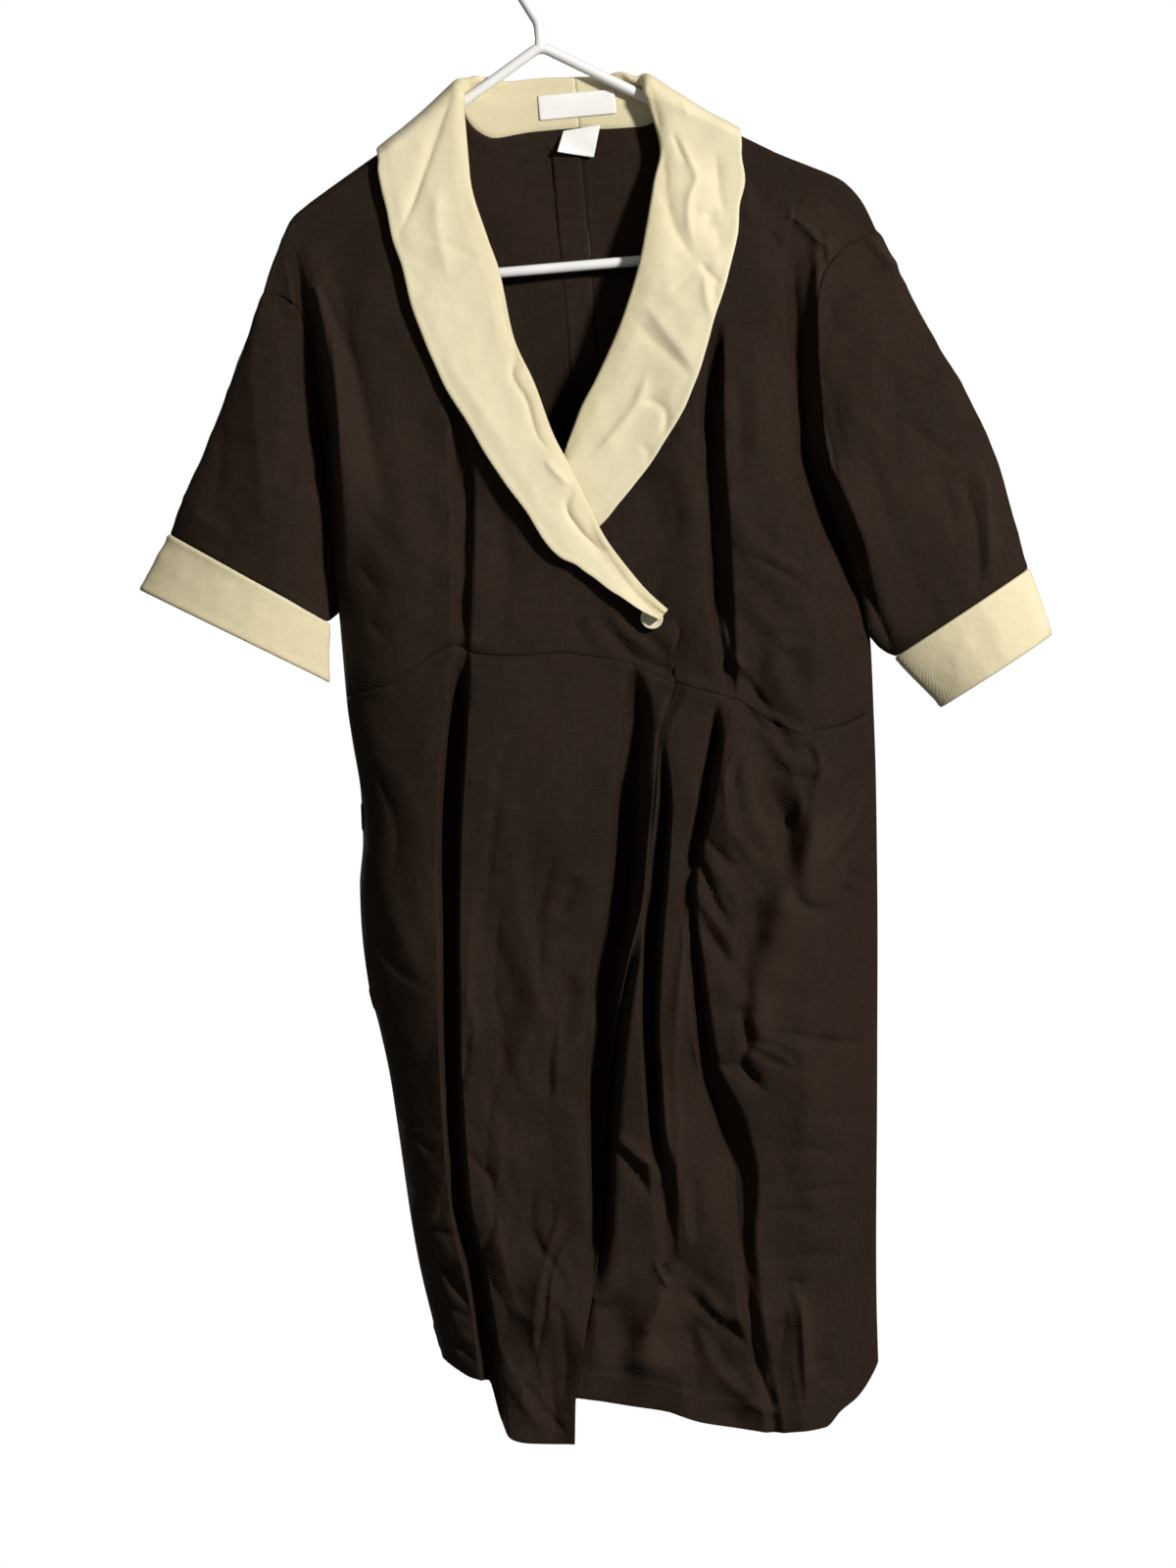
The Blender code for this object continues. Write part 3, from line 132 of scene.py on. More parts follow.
# Deep folds: z, x of the two lips, width of each wall, share of the depth
FOLDS_OVER = [
    (24, [(-533, -104, -91, 4, 4, 0.0), (-565, -111, -95, 4, 5, 0.6), (-601, -119, -100, 5, 5, 0.9),
          (-669, -129, -110, 5, 5, 1.0), (-761, -136, -119, 6, 5, 1.0), (-871, -143, -126, 6, 6, 0.9),
          (-939, -144, -127, 6, 6, 0.8), (-1017, -136, -118, 6, 6, 0.8), (-1090, -132, -114, 6, 6, 0.8)]),
    (30, [(-550, 23, 33, 3, 5, 0.0), (-591, 17, 44, 4, 16, 0.6), (-640, 8, 38, 5, 20, 0.85),
          (-701, -1, 28, 5, 18, 1.0), (-735, -9, 22, 5, 16, 1.0), (-776, -23, 10, 5, 14, 1.0),
          (-843, -33, -4, 5, 12, 1.0), (-920, -38, -16, 5, 10, 1.0), (-973, -42, -26, 5, 8, 0.9),
          (-1025, -52, -38, 4, 6, 0.0)]),
    (10, [(-340, -96, -76, 8, 8, 0.0), (-400, -97, -77, 7, 7, 0.9), (-470, -101, -83, 7, 7, 1.0),
          (-515, -105, -89, 6, 6, 0.8), (-545, -106, -92, 5, 5, 0.0)]),
    (12, [(-215, -208, -196, 5, 6, 0.0), (-256, -205, -190, 5, 7, 0.8), (-310, -202, -182, 6, 8, 1.0),
          (-400, -200, -180, 6, 8, 1.0), (-450, -197, -182, 6, 8, 0.5), (-500, -197, -184, 6, 8, 0.0)]),
]
FOLDS_UNDER = [
    (26, [(-615, 40, 48, 3, 4, 0.0), (-650, 37, 50, 4, 6, 0.8), (-709, 24, 43, 4, 6, 1.0),
          (-774, 16, 32, 4, 6, 1.0), (-847, 9, 24, 5, 6, 1.0), (-900, 8, 24, 5, 8, 0.8),
          (-953, 8, 30, 8, 10, 0.5), (-1010, 8, 30, 8, 10, 0.0)]),
    (16, [(-590, 86, 92, 3, 5, 0.0), (-615, 80, 92, 3, 6, 0.8), (-660, 67, 82, 3, 7, 1.0),
          (-740, 48, 62, 3, 7, 0.9), (-800, 49, 64, 4, 8, 0.9), (-860, 50, 68, 5, 10, 1.0),
          (-902, 58, 84, 6, 12, 1.0), (-944, 64, 90, 8, 10, 1.0), (-1000, 63, 84, 8, 10, 0.9),
          (-1060, 68, 86, 8, 10, 0.8), (-1120, 76, 92, 8, 10, 0.8)]),
    (15, [(-610, 104, 122, 8, 8, 0.0), (-650, 110, 138, 12, 10, 0.7), (-690, 108, 146, 16, 8, 1.0),
          (-740, 98, 126, 14, 8, 1.0), (-790, 86, 104, 8, 6, 0.8), (-850, 84, 96, 5, 5, 0.0)]),
    (15, [(-300, 104, 122, 6, 8, 0.0), (-340, 98, 118, 6, 8, 0.9), (-382, 94, 114, 6, 8, 1.0),
          (-444, 92, 112, 6, 8, 1.0), (-507, 90, 110, 6, 8, 1.0), (-560, 92, 108, 5, 6, 0.6),
          (-592, 94, 106, 4, 5, 0.0)]),
    (15, [(-215, 180, 200, 5, 6, 0.0), (-250, 172, 204, 6, 8, 0.8), (-290, 168, 204, 6, 8, 1.0),
          (-400, 167, 200, 6, 8, 1.0), (-450, 176, 208, 8, 8, 0.8), (-500, 190, 222, 8, 8, 0.4),
          (-540, 200, 226, 8, 8, 0.0)]),
]
FOLDS_BACK = [
    (16, [(-545, -96, -82, 4, 4, 0.0), (-600, -104, -84, 6, 6, 0.9), (-760, -112, -86, 8, 8, 1.0),
          (-950, -116, -84, 10, 10, 0.9), (-1120, -118, -80, 12, 12, 0.8)]),
    (18, [(-560, 118, 134, 4, 4, 0.0), (-620, 112, 132, 6, 6, 0.9), (-780, 104, 130, 8, 8, 1.0),
          (-950, 98, 128, 10, 10, 0.9), (-1130, 92, 128, 12, 12, 0.8)]),
    (12, [(-548, 20, 32, 4, 4, 0.0), (-640, 6, 24, 6, 6, 0.6), (-800, -8, 20, 10, 10, 1.0),
          (-1000, -14, 22, 12, 12, 1.0), (-1130, -16, 24, 12, 12, 0.9)]),
    (9, [(-190, -150, -138, 4, 6, 0.0), (-260, -146, -130, 6, 8, 0.8), (-420, -140, -122, 8, 10, 1.0),
         (-555, -128, -112, 6, 6, 0.0)]),
    (9, [(-190, 138, 150, 4, 6, 0.0), (-270, 134, 152, 6, 8, 0.9), (-420, 132, 154, 8, 10, 1.0),
         (-580, 128, 144, 6, 6, 0.0)]),
]

# Collar stations from the centre back to the tip: side of the garment (1 back, 0 over the arm, -1 front),
# x and z of the roll, x and z of the outer edge, height of the stand, height of the roll
COLLAR_RIGHT = [
    (1, 23.7, -105, 23.7, -180, 38, 5), (1, -6, -104, -20, -181, 38, 5), (1, -32, -102, -66, -179, 34, 5),
    (1, -50, -101, -104, -171, 18, 7), (0, -56, 0, -128, 0, 13, 11), (-1, -62, -128, -130, -168, 12, 7),
    (-1, -62, -175, -126, -200, 12, 5), (-1, -53, -223, -119, -243, 12, 5),
    (-1, -46, -251, -110, -285, 12, 5),
    (-1, -40, -300, -97, -326, 12, 5), (-1, -27, -338, -80, -363, 12, 5), (-1, -15, -381, -57, -408, 12, 5),
    (-1, -1, -415, -34, -446, 12, 5), (-1, 12, -450, -6, -480, 11, 5), (-1, 30, -482, 17, -500, 8, 6),
    (-1, 45, -503, 38, -514, 3.5, 7), (-1, 58, -517, 51.5, -524, 2, 8),
]
COLLAR_LEFT = [
    (1, 24.3, -105, 24.3, -180, 38, 5), (1, 44, -106, 52, -180, 38, 5), (1, 60, -107, 92, -176, 34, 5),
    (1, 68, -108, 122, -170, 20, 7), (0, 70, 0, 143, 0, 13, 11), (-1, 78, -134, 146, -174, 12, 7),
    (-1, 84, -166, 143, -196, 12, 5), (-1, 77, -192, 139, -222, 12, 5), (-1, 69, -223, 132, -252, 12, 5),
    (-1, 61, -252, 121, -279, 12, 5), (-1, 45, -292, 107, -316, 12, 5), (-1, 20, -338, 88, -360, 12, 5),
    (-1, -7, -388, 57, -403, 12, 5), (-1, -22, -424, 30, -432, 12, 5), (-1, -33, -456, 2, -460, 11, 5),
    (-1, -42, -490, -22, -492, 8, 5), (-1, -49, -516, -41, -516, 4, 5),
]
COLLAR_ROLL = -105  # height of the roll at the centre back
COLLAR_EDGE_LIFT = 2.5
TIP_LIFT = 5.8
TIP_STRETCH = 62.0
TIP_RISE = 34.0

# Sleeves: silhouettes and cuff lines, x and z
SLEEVE_RIGHT_TOP = [(-226, -248), (-232, -262), (-260, -320), (-300, -400), (-313, -425)]
SLEEVE_RIGHT_UNDER = [(-190, -430), (-194, -460), (-198, -502)]
CUFF_RIGHT_END = [(-339, -465), (-202, -547)]
SLEEVE_LEFT_TOP = [(242, -241), (259, -283), (283, -336), (306, -385), (321, -430), (329, -470), (335, -508)]
SLEEVE_LEFT_UNDER = [(195, -430), (206, -475), (217, -520), (228, -566)]
CUFF_LEFT_END = [(348, -560), (260, -607)]
SLEEVE_DEPTH = [(0.0, 18), (0.5, 24), (1.0, 21)]
SLEEVE_SHARES = [0, 0.05, 0.12, 0.22, 0.34, 0.46, 0.58, 0.7, 0.82, 0.92, 1.0]
SLEEVE_SETTLED = 0.3  # share of the sleeve over which its section turns from the armhole's to its own
CUFF_FLARE = 0.06
CUFF_PROUD = 1.0
CUFF_CLOTH = 1.8

# Rows of the panels: share of the armhole, then rows down the side seam
ARMHOLE_SHARES = [0.08, 0.15, 0.25, 0.36, 0.48, 0.6, 0.72, 0.83, 0.92, 1.0]
OVER_ARM_TURNS = [0, 30, 60, 90]
LEAST_SPAN = 6.0
SHOULDER_SHARES = [0, 0.08, 0.135, 0.17, 0.21, 0.45, 0.72, 1]
BACK_STATIONS = [0, 0.1, 0.25, 0.5, 0.85, 1.2, 1.6, 2.3, 3.1, 4.0]
SIDE_ROWS = 7
SKIRT_ROWS = 14
FREE_EDGE_POINTS = 3
NARROWEST = 0.012
UNDERLAP_BACK = 9.0
UNDERLAP_NEAR = 2.6
UNDERLAP_START = 1.5
UNDERLAP_SKIRT = 4.0
UNDERLAP_DROP = 7.0
HIDDEN_DEPTH = 12.0

# Small pieces inside the neck: x from and to, z from and to, in the hanging plane
PLEAT_X = (2.0, 22.5)
PLEAT_Z = (-158, -420)
NECK_LABEL = (24, -126, 58, 18)  # x and z of its middle, width, height
CARE_LABEL = [(12, -145), (40, -143), (33, -167), (6, -161)]
PLEAT_GAP = 0.5
LABEL_GAP = 0.35
CARE_LABEL_GAP = 0.45
CARE_CURL = 2.1
CORNER_CURL = 5.0

BUTTON_CENTRE = (46.0, -522.0)
BUTTON_RADIUS = 8.5
BUTTON_THICK = 2.6
BUTTON_BASE = 0.4
BUTTON_RIM = 0.7
BUTTON_SIDES = 48

# Fine mesh of the cloth
CELL = 2.45
BACK_CELL = 4.4
SLEEVE_CELL = 2.6
CUFF_CELL = 2.0
FABRIC = 1.0
RIM_ROUND = 0.4  # how far a sheet's rounded rim stands out, as a share of its thickness
FRONT_LIMIT = -72.0

# Seams and hems
SEAM_DIP = 0.7
SEAM_WIDTH = 1.8
SEWN_FADE = 9.0
SEAM_LIP = 1.8
SEAM_OVERLAP = 0.25
SIDE_SEAM_BEYOND = 100.0
HEM_FOLD = 22.0
HEM_STEP = 0.35
HEM_GROOVE = 0.5
TUCK = 4.0
TUCK_DEPTH = {"right": 13.0, "left": -14.0}
STITCH_SIDES = 6
STITCH = (  # share of its length, size and lift of a stitch's rings
    (0, 0.25, -0.5), (0.2, 0.85, 0.2), (0.5, 1, 0.45), (0.8, 0.85, 0.2), (1, 0.25, -0.5),
)

# Creases and crumple
CREASE_REACH = 3.2  # widths from its line at which a crease has faded out
CREASE_TAPER = 0.3  # share of its length over which each of its ends fades
FRONT_TROUGH = 14.0  # deepest trough of a bodice, below the hanger's arms
BACK_TROUGH = 4.0
CALM = 0.13  # crumple of smooth cloth, where a crumpled place has about 1
MOST_CRUMPLED = 1.3
PUCKER = 8.5
FACET_SIZE = 44.0
FACET_ROWS = 97
FACET_STRETCH = 1.7
RUMPLE = 1.6
RUMPLE_SIZE = 58.0
EASE_PASSES = 8
SLEEVE_BACK_SHIFT = (9, -14)  # how far the front's creases are moved on the back of a sleeve

# Collar's cloth
PAST_ROLL = 4.2  # step of the collar's profile from which it is the outer side
PUFF_FROM = 16  # distance from the neck seam at which the outer side starts to stand off
COLLAR_PUFF = 1.2
COLLAR_STAND_OFF = 6.0
HIDDEN_BELOW = -470.0

# Materials: noise scales to the metre, and a twill's ribs to the metre times its pitch
THREADS = 620
FIBRES = 1500
CLOUDS = 7.0
MOTTLE = 60.0
CRINKLES = 22.0
SOFT_DENTS = 45.0
RIBS_TO_PITCH = 0.444

# Camera and floor, in metres and degrees
CAMERA_DISTANCE = 3.6
SHARP_PLANE = -0.02
VIEW_HEIGHT = 1.1856
VIEW_MIDDLE = (-0.0127, -0.642)
CAMERA_ROLL = 5.0
FLOOR = -1.75
FLOOR_RADIUS = 2.5

# Creases: height (a trough is below 0), width or the widths of its two sides, lean, and x and z of the points
# that each runs through
WRAP_GROOVE = (
    -9, (13, 8), 0, 34, -547, 28, -599, 18, -662, 5, -731, -14, -793, -25, -868, -33, -948, -43, -1029,
)
CREASES_OVER = [
    (3, (9, 5), 0, -94, -902, -109, -947, -105, -1000, -96, -1042),
    (3, (4, 12), 0, -131, -1056, -110, -1087, -87, -1124),
    (3.4, (5, 14), 0, -54, -946, -76, -997, -89, -1048, -80, -1107),
    (-2.6, (4, 4), 0, -94, -966, -70, -997, -58, -1028),
    (-2.4, (4, 4), 0, -88, -874, -98, -919, -89, -961),
    (2.2, (4, 9), 0, -170, -936, -156, -978, -136, -1021),
    (-2.4, (4, 5), 0, -173, -1006, -155, -1036, -143, -1064),
    (2.4, (6, 12), 0, -53, -795, -58, -830, -57, -876), WRAP_GROOVE,
    (2.4, 3.5, 0, 55, -549, 44, -618, 34, -681, 12, -755),
    (-2.1, 3.2, 0, -62, -595, -72, -610, -77, -630, -88, -675, -95, -715, -100, -740),
    (-2.1, 3.2, 0.4, -85, -718, -93, -761, -97, -794, -92, -820, -89, -841),
    (-2.7, 3.2, 0.5, -54, -741, -60, -761, -62, -779, -57, -798, -58, -823),
    (-3.8, 9, 0, -24, -710, -35, -725, -43, -742),
    (2.7, 5, 0, -109, -777, -116, -795, -113, -814, -118, -836),
    (-4.6, 13, 0.3, -37, -779, -44, -806, -48, -842), (-1.5, 3.2, 0, -123, -542, -114, -539, -102, -534),
    (-1.7, 3.2, 0, -129, -607, -119, -597, -114, -590),
    (-3.4, 4, 0.4, -119, -820, -124, -848, -133, -873), (-1.9, 3.2, 0, -97, -819, -92, -842, -84, -874),
    (-4.6, 4.5, -0.5, -51, -804, -55, -826, -59, -851, -63, -886),
    (-3.4, 5, 0.5, -131, -898, -120, -919, -110, -934, -110, -954, -123, -984, -130, -1017),
    (-2.7, 3.2, 0.4, -77, -929, -82, -951, -85, -965, -78, -988, -78, -1005),
    (-2.5, 3.2, 0, -66, -947, -67, -961, -75, -983),
    (-3.4, 3.2, 0.6, -42, -960, -60, -978, -73, -1000, -80, -1033, -89, -1066, -93, -1080),
    (2.3, 4, 0, -49, -979, -66, -995, -73, -1017, -77, -1045),
    (-3.4, 8, 0.3, -64, -1001, -68, -1034, -67, -1068, -72, -1102),
    (-3.6, 4, 0.5, -111, -1076, -98, -1088, -83, -1112, -68, -1129),
    (3.1, 5, 0, -117, -1050, -108, -1076, -100, -1089, -104, -1105),
    (-2.9, 3.2, 0.4, -169, -892, -160, -902, -150, -909),
    (-2.9, 3.2, 0.4, -178, -964, -158, -967, -136, -972),
    (-3.4, 3.6, 0.5, -154, -987, -148, -1007, -133, -1028),
    (-2.5, 4, 0, -175, -1005, -157, -1021, -131, -1037),
    (-2.9, 4, 0.3, -168, -1045, -149, -1055, -131, -1072),
    (-2.5, 4.5, 0, -181, -922, -172, -934, -159, -938),
    (2.1, 5, 0, -158, -1032, -146, -1047, -132, -1054),
    (-2.1, 3.2, 0, -176, -818, -170, -824, -163, -826),
    (-2.3, 4, 0.3, -190, -730, -169, -768, -135, -792), (-1.9, 4, 0, -176, -603, -160, -669, -169, -711),
    (-1.9, 3.4, 0, -192, -873, -172, -885, -154, -890), (-1.9, 6, 0, -88, -825, -107, -880, -116, -937),
    (2.3, 7, 0, -102, -695, -113, -766, -123, -829), (-2.3, 6, 0.3, -39, -679, -59, -735, -69, -777),
    (-3.2, 6, 0.5, -199, -205, -189, -225, -180, -252, -171, -281, -162, -307, -155, -354, -151, -391,
     -146, -417, -142, -446, -141, -463),
    (-2.7, 9, 0, -167, -210, -165, -256, -164, -290, -161, -325),
    (3.8, 4.5, 0, -175, -278, -175, -323, -176, -363, -178, -380),
    (-2.7, 3.2, 0.5, -143, -264, -137, -284, -136, -307),
    (2.3, 12, 0, -134, -310, -131, -356, -130, -396, -132, -438),
    (-1.9, 5, 0, -173, -460, -163, -475, -153, -491),
    (-2.1, 3.2, 0.3, -140, -547, -126, -540, -107, -534),
    (-2.1, 5, 0, -168, -503, -162, -512, -153, -525),
    (-3.4, 12, -0.3, -67, -390, -59, -425, -59, -465, -62, -510),
    (2.1, 9, 0, -191, -208, -178, -232, -174, -267), (-2.1, 7, 0, -150, -172, -155, -194, -152, -223),
    (-1.9, 7, 0, -109, -386, -114, -426, -115, -468, -122, -505),
    (-7.2, 9, 0.4, 2, -503, 15, -531, 31, -551, 57, -565, 79, -576),
    (3.4, 7, 0, 7, -510, 26, -532, 50, -548), (-5.3, 7, 0, 21, -513, 37, -532, 56, -553, 60, -560),
    (-2.3, 3.2, 0.4, 62, -521, 65, -533, 61, -544), (-2.7, 5, 0, -11, -513, -8, -529, 4, -544),
]
CREASES_UNDER = [
    (-6, (12, 6), 0, 106, -303, 101, -384, 93, -454, 94, -525, 98, -570), WRAP_GROOVE,
    (-6, (7, 4.5), 0, 46, -600, 36, -652, 28, -704, 21, -761, 16, -813, 14, -865),
    (6, 6, 0, 24, -854, 22, -889, 21, -930, 21, -970),
    (-4.5, (22, 12), 0, 148, -644, 134, -690, 111, -740, 90, -790, 79, -830, 73, -876),
    (9, (30, 30), 0, 168, -634, 150, -691, 124, -747, 104, -797, 92, -843, 89, -889),
    (-9, (16, 6), 0, 42, -827, 52, -874, 64, -922, 66, -974, 63, -1009, 64, -1038),
    (6, (7, 7), 0, 76, -1010, 79, -1051, 81, -1092, 83, -1133, 83, -1191),
    (-3, (6, 4), 0, 65, -1021, 71, -1059, 80, -1104),
    (3.5, 4, 0, 65, -689, 53, -746, 40, -815, 32, -884, 29, -954),
    (-3.4, 4, 0.4, 62, -678, 75, -696, 94, -721, 104, -751, 104, -780),
    (-3.2, 4, 0.4, 58, -718, 75, -740, 92, -773, 96, -797), (-3, 4, 0.4, 55, -750, 74, -774, 86, -808),
    (2.6, 4.5, 0, 66, -701, 87, -732, 97, -762), (2.4, 4.5, 0, 58, -732, 76, -757, 91, -788),
    (-3.6, 5, 0, 112, -615, 97, -646, 101, -684, 118, -709, 130, -715),
    (3.2, 5, 0, 107, -617, 89, -651, 91, -686, 108, -719),
    (-2, 5, 0, 132, -617, 122, -651, 129, -683, 143, -674), (1.5, 4, 0, 140, -626, 141, -655, 135, -675),
    (-4.5, 7, 0.4, 110, -567, 125, -596, 139, -629, 146, -641),
    (-2.6, 4, 0.4, 52, -848, 75, -865, 101, -888), (-2.2, 3.6, 0.4, 88, -843, 114, -852, 132, -877),
    (6, (12, 9), 0, 106, -1023, 112, -1060, 113, -1095, 108, -1130),
    (-6, 13, 0, -28, -1018, -25, -1048, -19, -1080), (8, (11, 30), 0, 14, -1005, 1, -1050, -16, -1101),
    (6, (6, 20), 0, 32, -1013, 51, -1046, 69, -1076, 90, -1113),
    (-4.2, (9, 4), 0, 25, -1038, 43, -1065, 61, -1099), (-3.8, 4, 0.4, 138, -187, 147, -192, 161, -201),
    (4.6, 13, 0, 179, -214, 191, -228, 203, -243), (-3.4, 5, 0.3, 171, -202, 181, -209, 190, -219),
    (4.2, 3.2, 0, 172, -223, 183, -230, 196, -245, 207, -257),
    (-2.7, 3.2, 0, 158, -234, 164, -243, 169, -251),
    (-2.3, 3.2, 0, 186, -267, 198, -260, 212, -252, 233, -239),
    (-3.1, 8, 0, 194, -285, 202, -308, 192, -326),
    (-3.4, 3.2, 0.6, 124, -482, 145, -496, 160, -507, 172, -517),
    (2.1, 6, 0, 128, -472, 149, -487, 170, -504),
    (-3.1, 6, 0.3, 113, -547, 141, -543, 163, -548, 170, -560),
    (-5.3, 15, 0, 140, -552, 153, -576, 151, -599),
    (5.3, 4.5, 0.4, 100, -508, 102, -549, 113, -569, 124, -586, 136, -603),
    (-5, 6, 0, 108, -561, 120, -581, 130, -602), (-2.3, 3.2, 0, 175, -618, 190, -612, 207, -606),
    (-4.6, 5, 0, 198, -545, 204, -561, 202, -580), (-2.1, 3.2, 0, 58, -485, 52, -500, 51, -516),
    (-2.1, 3.2, 0, 77, -514, 81, -520, 84, -525), (-2.3, 9, 0, 125, -333, 126, -383, 120, -433),
    (2.1, 10, 0, 142, -309, 140, -372, 134, -416), (-2.3, 9, 0, 65, -403, 72, -442, 65, -479),
    (-2.7, 6, 0, 123, -453, 138, -467, 146, -480), (-2.3, 4, 0.4, 176, -508, 188, -525, 194, -544),
    (-5, 3.4, 0.3, 92, -597, 88, -606, 81, -623, 73, -643, 67, -663),
    (-6.5, 5, 0.5, 58, -687, 67, -715, 78, -741),
    (-4, 6.5, 0.4, 57, -724, 64, -752, 75, -775, 85, -792, 92, -806),
    (3.4, 4.5, 0, 68, -704, 79, -735, 88, -763, 92, -786),
    (3.8, 3.2, 0.3, 105, -580, 121, -595, 133, -606, 144, -615, 166, -618),
    (-6.1, 4.2, 0, 107, -591, 117, -605, 126, -614),
    (-4.2, 8, 0.3, 121, -615, 130, -639, 144, -656, 150, -670, 145, -690, 134, -717, 127, -732),
    (-3.4, 7, 0.3, 110, -635, 117, -656, 129, -675, 133, -694, 130, -710, 125, -732),
    (-4.6, 6, 0, 100, -648, 91, -663, 92, -686, 99, -711, 111, -735),
    (3.6, 7, 0, 107, -642, 113, -669, 121, -700, 121, -722),
    (2.5, 5, 0, 125, -620, 139, -645, 147, -668, 137, -690),
    (2.9, 5, 0, 145, -620, 161, -633, 164, -649, 152, -655),
    (-4.2, 3.2, 0, 151, -623, 156, -632, 159, -644), (-3.4, 3.2, 0, 141, -649, 152, -652, 161, -651),
    (-2.7, 3.2, 0.4, 191, -647, 170, -670, 152, -689),
    (-2.7, 3.2, 0.4, 198, -654, 180, -684, 163, -703, 143, -727),
    (2.5, 4, 0, 184, -671, 169, -697, 146, -727), (-2.3, 3.2, 0.3, 204, -641, 192, -663, 180, -678),
    (-2.3, 3.2, 0.3, 200, -675, 187, -699, 164, -719, 147, -741),
    (-2.1, 3.2, 0, 171, -652, 159, -673, 149, -691), (2.3, 5, 0, 199, -663, 183, -689, 170, -706),
    (-2.7, 4, 0.3, 121, -745, 137, -746, 152, -751, 165, -754),
    (-2.3, 3.4, 0, 133, -730, 137, -742, 150, -751), (-2.5, 4, 0.4, 166, -734, 183, -744, 192, -755),
    (-2.1, 3.2, 0, 174, -726, 184, -728, 190, -733),
    (-2.7, 4, 0.4, 93, -836, 124, -843, 146, -850, 174, -857), (-6.5, 6, 0, 89, -811, 86, -833, 90, -856),
    (-6.9, 5.5, 0.3, 87, -821, 91, -844, 84, -856, 96, -879, 102, -888),
    (-4.2, 4, 0, 71, -857, 84, -864, 95, -881), (-3.2, 3.4, 0.5, 87, -847, 108, -862, 130, -874),
    (-2.1, 3.2, 0.3, 135, -848, 160, -852, 188, -857), (-1.9, 4, 0.3, 105, -962, 145, -959, 179, -965),
    (-1.9, 3.4, 0, 87, -974, 110, -973, 130, -976), (-1.7, 5, 0, 133, -907, 155, -906, 181, -912),
    (-1.7, 5, 0, 97, -930, 125, -929, 159, -936), (-1.7, 5, 0, 82, -1008, 118, -1008, 160, -1014),
    (5.7, 5, 0, -19, -900, -1, -921, 13, -936, 12, -953), (-6.1, 5, 0, -20, -908, 0, -938, 9, -959),
    (-3.8, 7, 0, 25, -921, 25, -946, 16, -979),
    (4.2, 4, 0, 40, -885, 44, -922, 35, -953, 32, -986, 34, -1003),
    (-4.2, 3.2, 0, 46, -925, 39, -950, 38, -998),
    (4.6, 6, 0, 37, -851, 36, -896, 27, -946, 24, -997, 22, -1014),
    (-5, 5, 0.4, -49, -1019, -36, -1034, -32, -1063, -24, -1090),
    (5.3, 5.5, 0, 15, -1019, 0, -1049, -13, -1070, -23, -1090),
    (-4.2, 13, 0, -9, -1005, -17, -1041, -22, -1078), (5, 3.2, 0, 6, -999, 9, -1010, 16, -1025),
    (-3.8, 3.2, 0, 10, -1004, 16, -1016), (3.8, 3.2, 0, -51, -1020, -43, -1024, -35, -1034),
    (-5.3, 4.5, 0.4, 24, -1022, 42, -1044, 57, -1059, 70, -1073),
    (-7.6, 7, 0.3, 53, -1047, 65, -1066, 73, -1086, 81, -1102),
    (5.3, 6, 0, 28, -1037, 42, -1075, 56, -1100, 78, -1118),
    (-3.8, 14, 0, -6, -1065, 15, -1056, 28, -1065, 30, -1082),
    (5.3, 5, 0, 104, -1029, 113, -1041, 112, -1064, 111, -1092, 110, -1126),
    (-6.5, 9, 0, 102, -1043, 95, -1068, 90, -1088, 92, -1113),
    (3.8, 4.5, 0, 58, -1110, 77, -1119, 92, -1125), (-3.8, 7, 0, 46, -1112, 53, -1123, 65, -1128),
    (-3.1, 3.4, 0, 100, -1026, 108, -1027, 118, -1031), (-2.1, 4, 0, 117, -1084, 128, -1089, 138, -1088),
    (2.7, 6, 0, 119, -1101, 132, -1114, 143, -1109),
]
CREASES_SLEEVES = [
    (-4.4, 5, 0.3, 297, -424, 293, -445, 297, -471, 297, -503, 290, -532),
    (4.2, 6, 0, 305, -418, 307, -450, 306, -488, 301, -519),
    (-2.9, 7, 0.3, 252, -385, 270, -409, 294, -426), (4.2, 4.5, 0, 231, -239, 247, -264, 259, -279),
    (-4.6, 4.5, 0, 206, -501, 213, -524, 220, -543, 227, -565),
    (-2.7, 10, 0, 269, -415, 276, -447, 283, -486), (-2.7, 13, 0, 244, -337, 243, -381, 236, -425),
    (2.3, 10, 0, 279, -346, 292, -379, 303, -405), (-2.9, 8, 0, 194, -288, 202, -308, 193, -326),
    (-2.5, 12, 0, 215, -397, 225, -443, 234, -488), (-2.9, 12, 0, -220, -345, -214, -374, -219, -408),
    (-2.9, 13, 0, -204, -287, -208, -332, -205, -378, -204, -432),
    (2.3, 11, 0, -235, -261, -240, -318, -239, -375, -238, -429),
    (-2.1, 9, 0, -264, -333, -271, -378, -279, -411), (-2.1, 8, 0, -212, -226, -214, -252, -211, -280),
    (2.3, 8, 0, -296, -404, -286, -416, -264, -432),
]
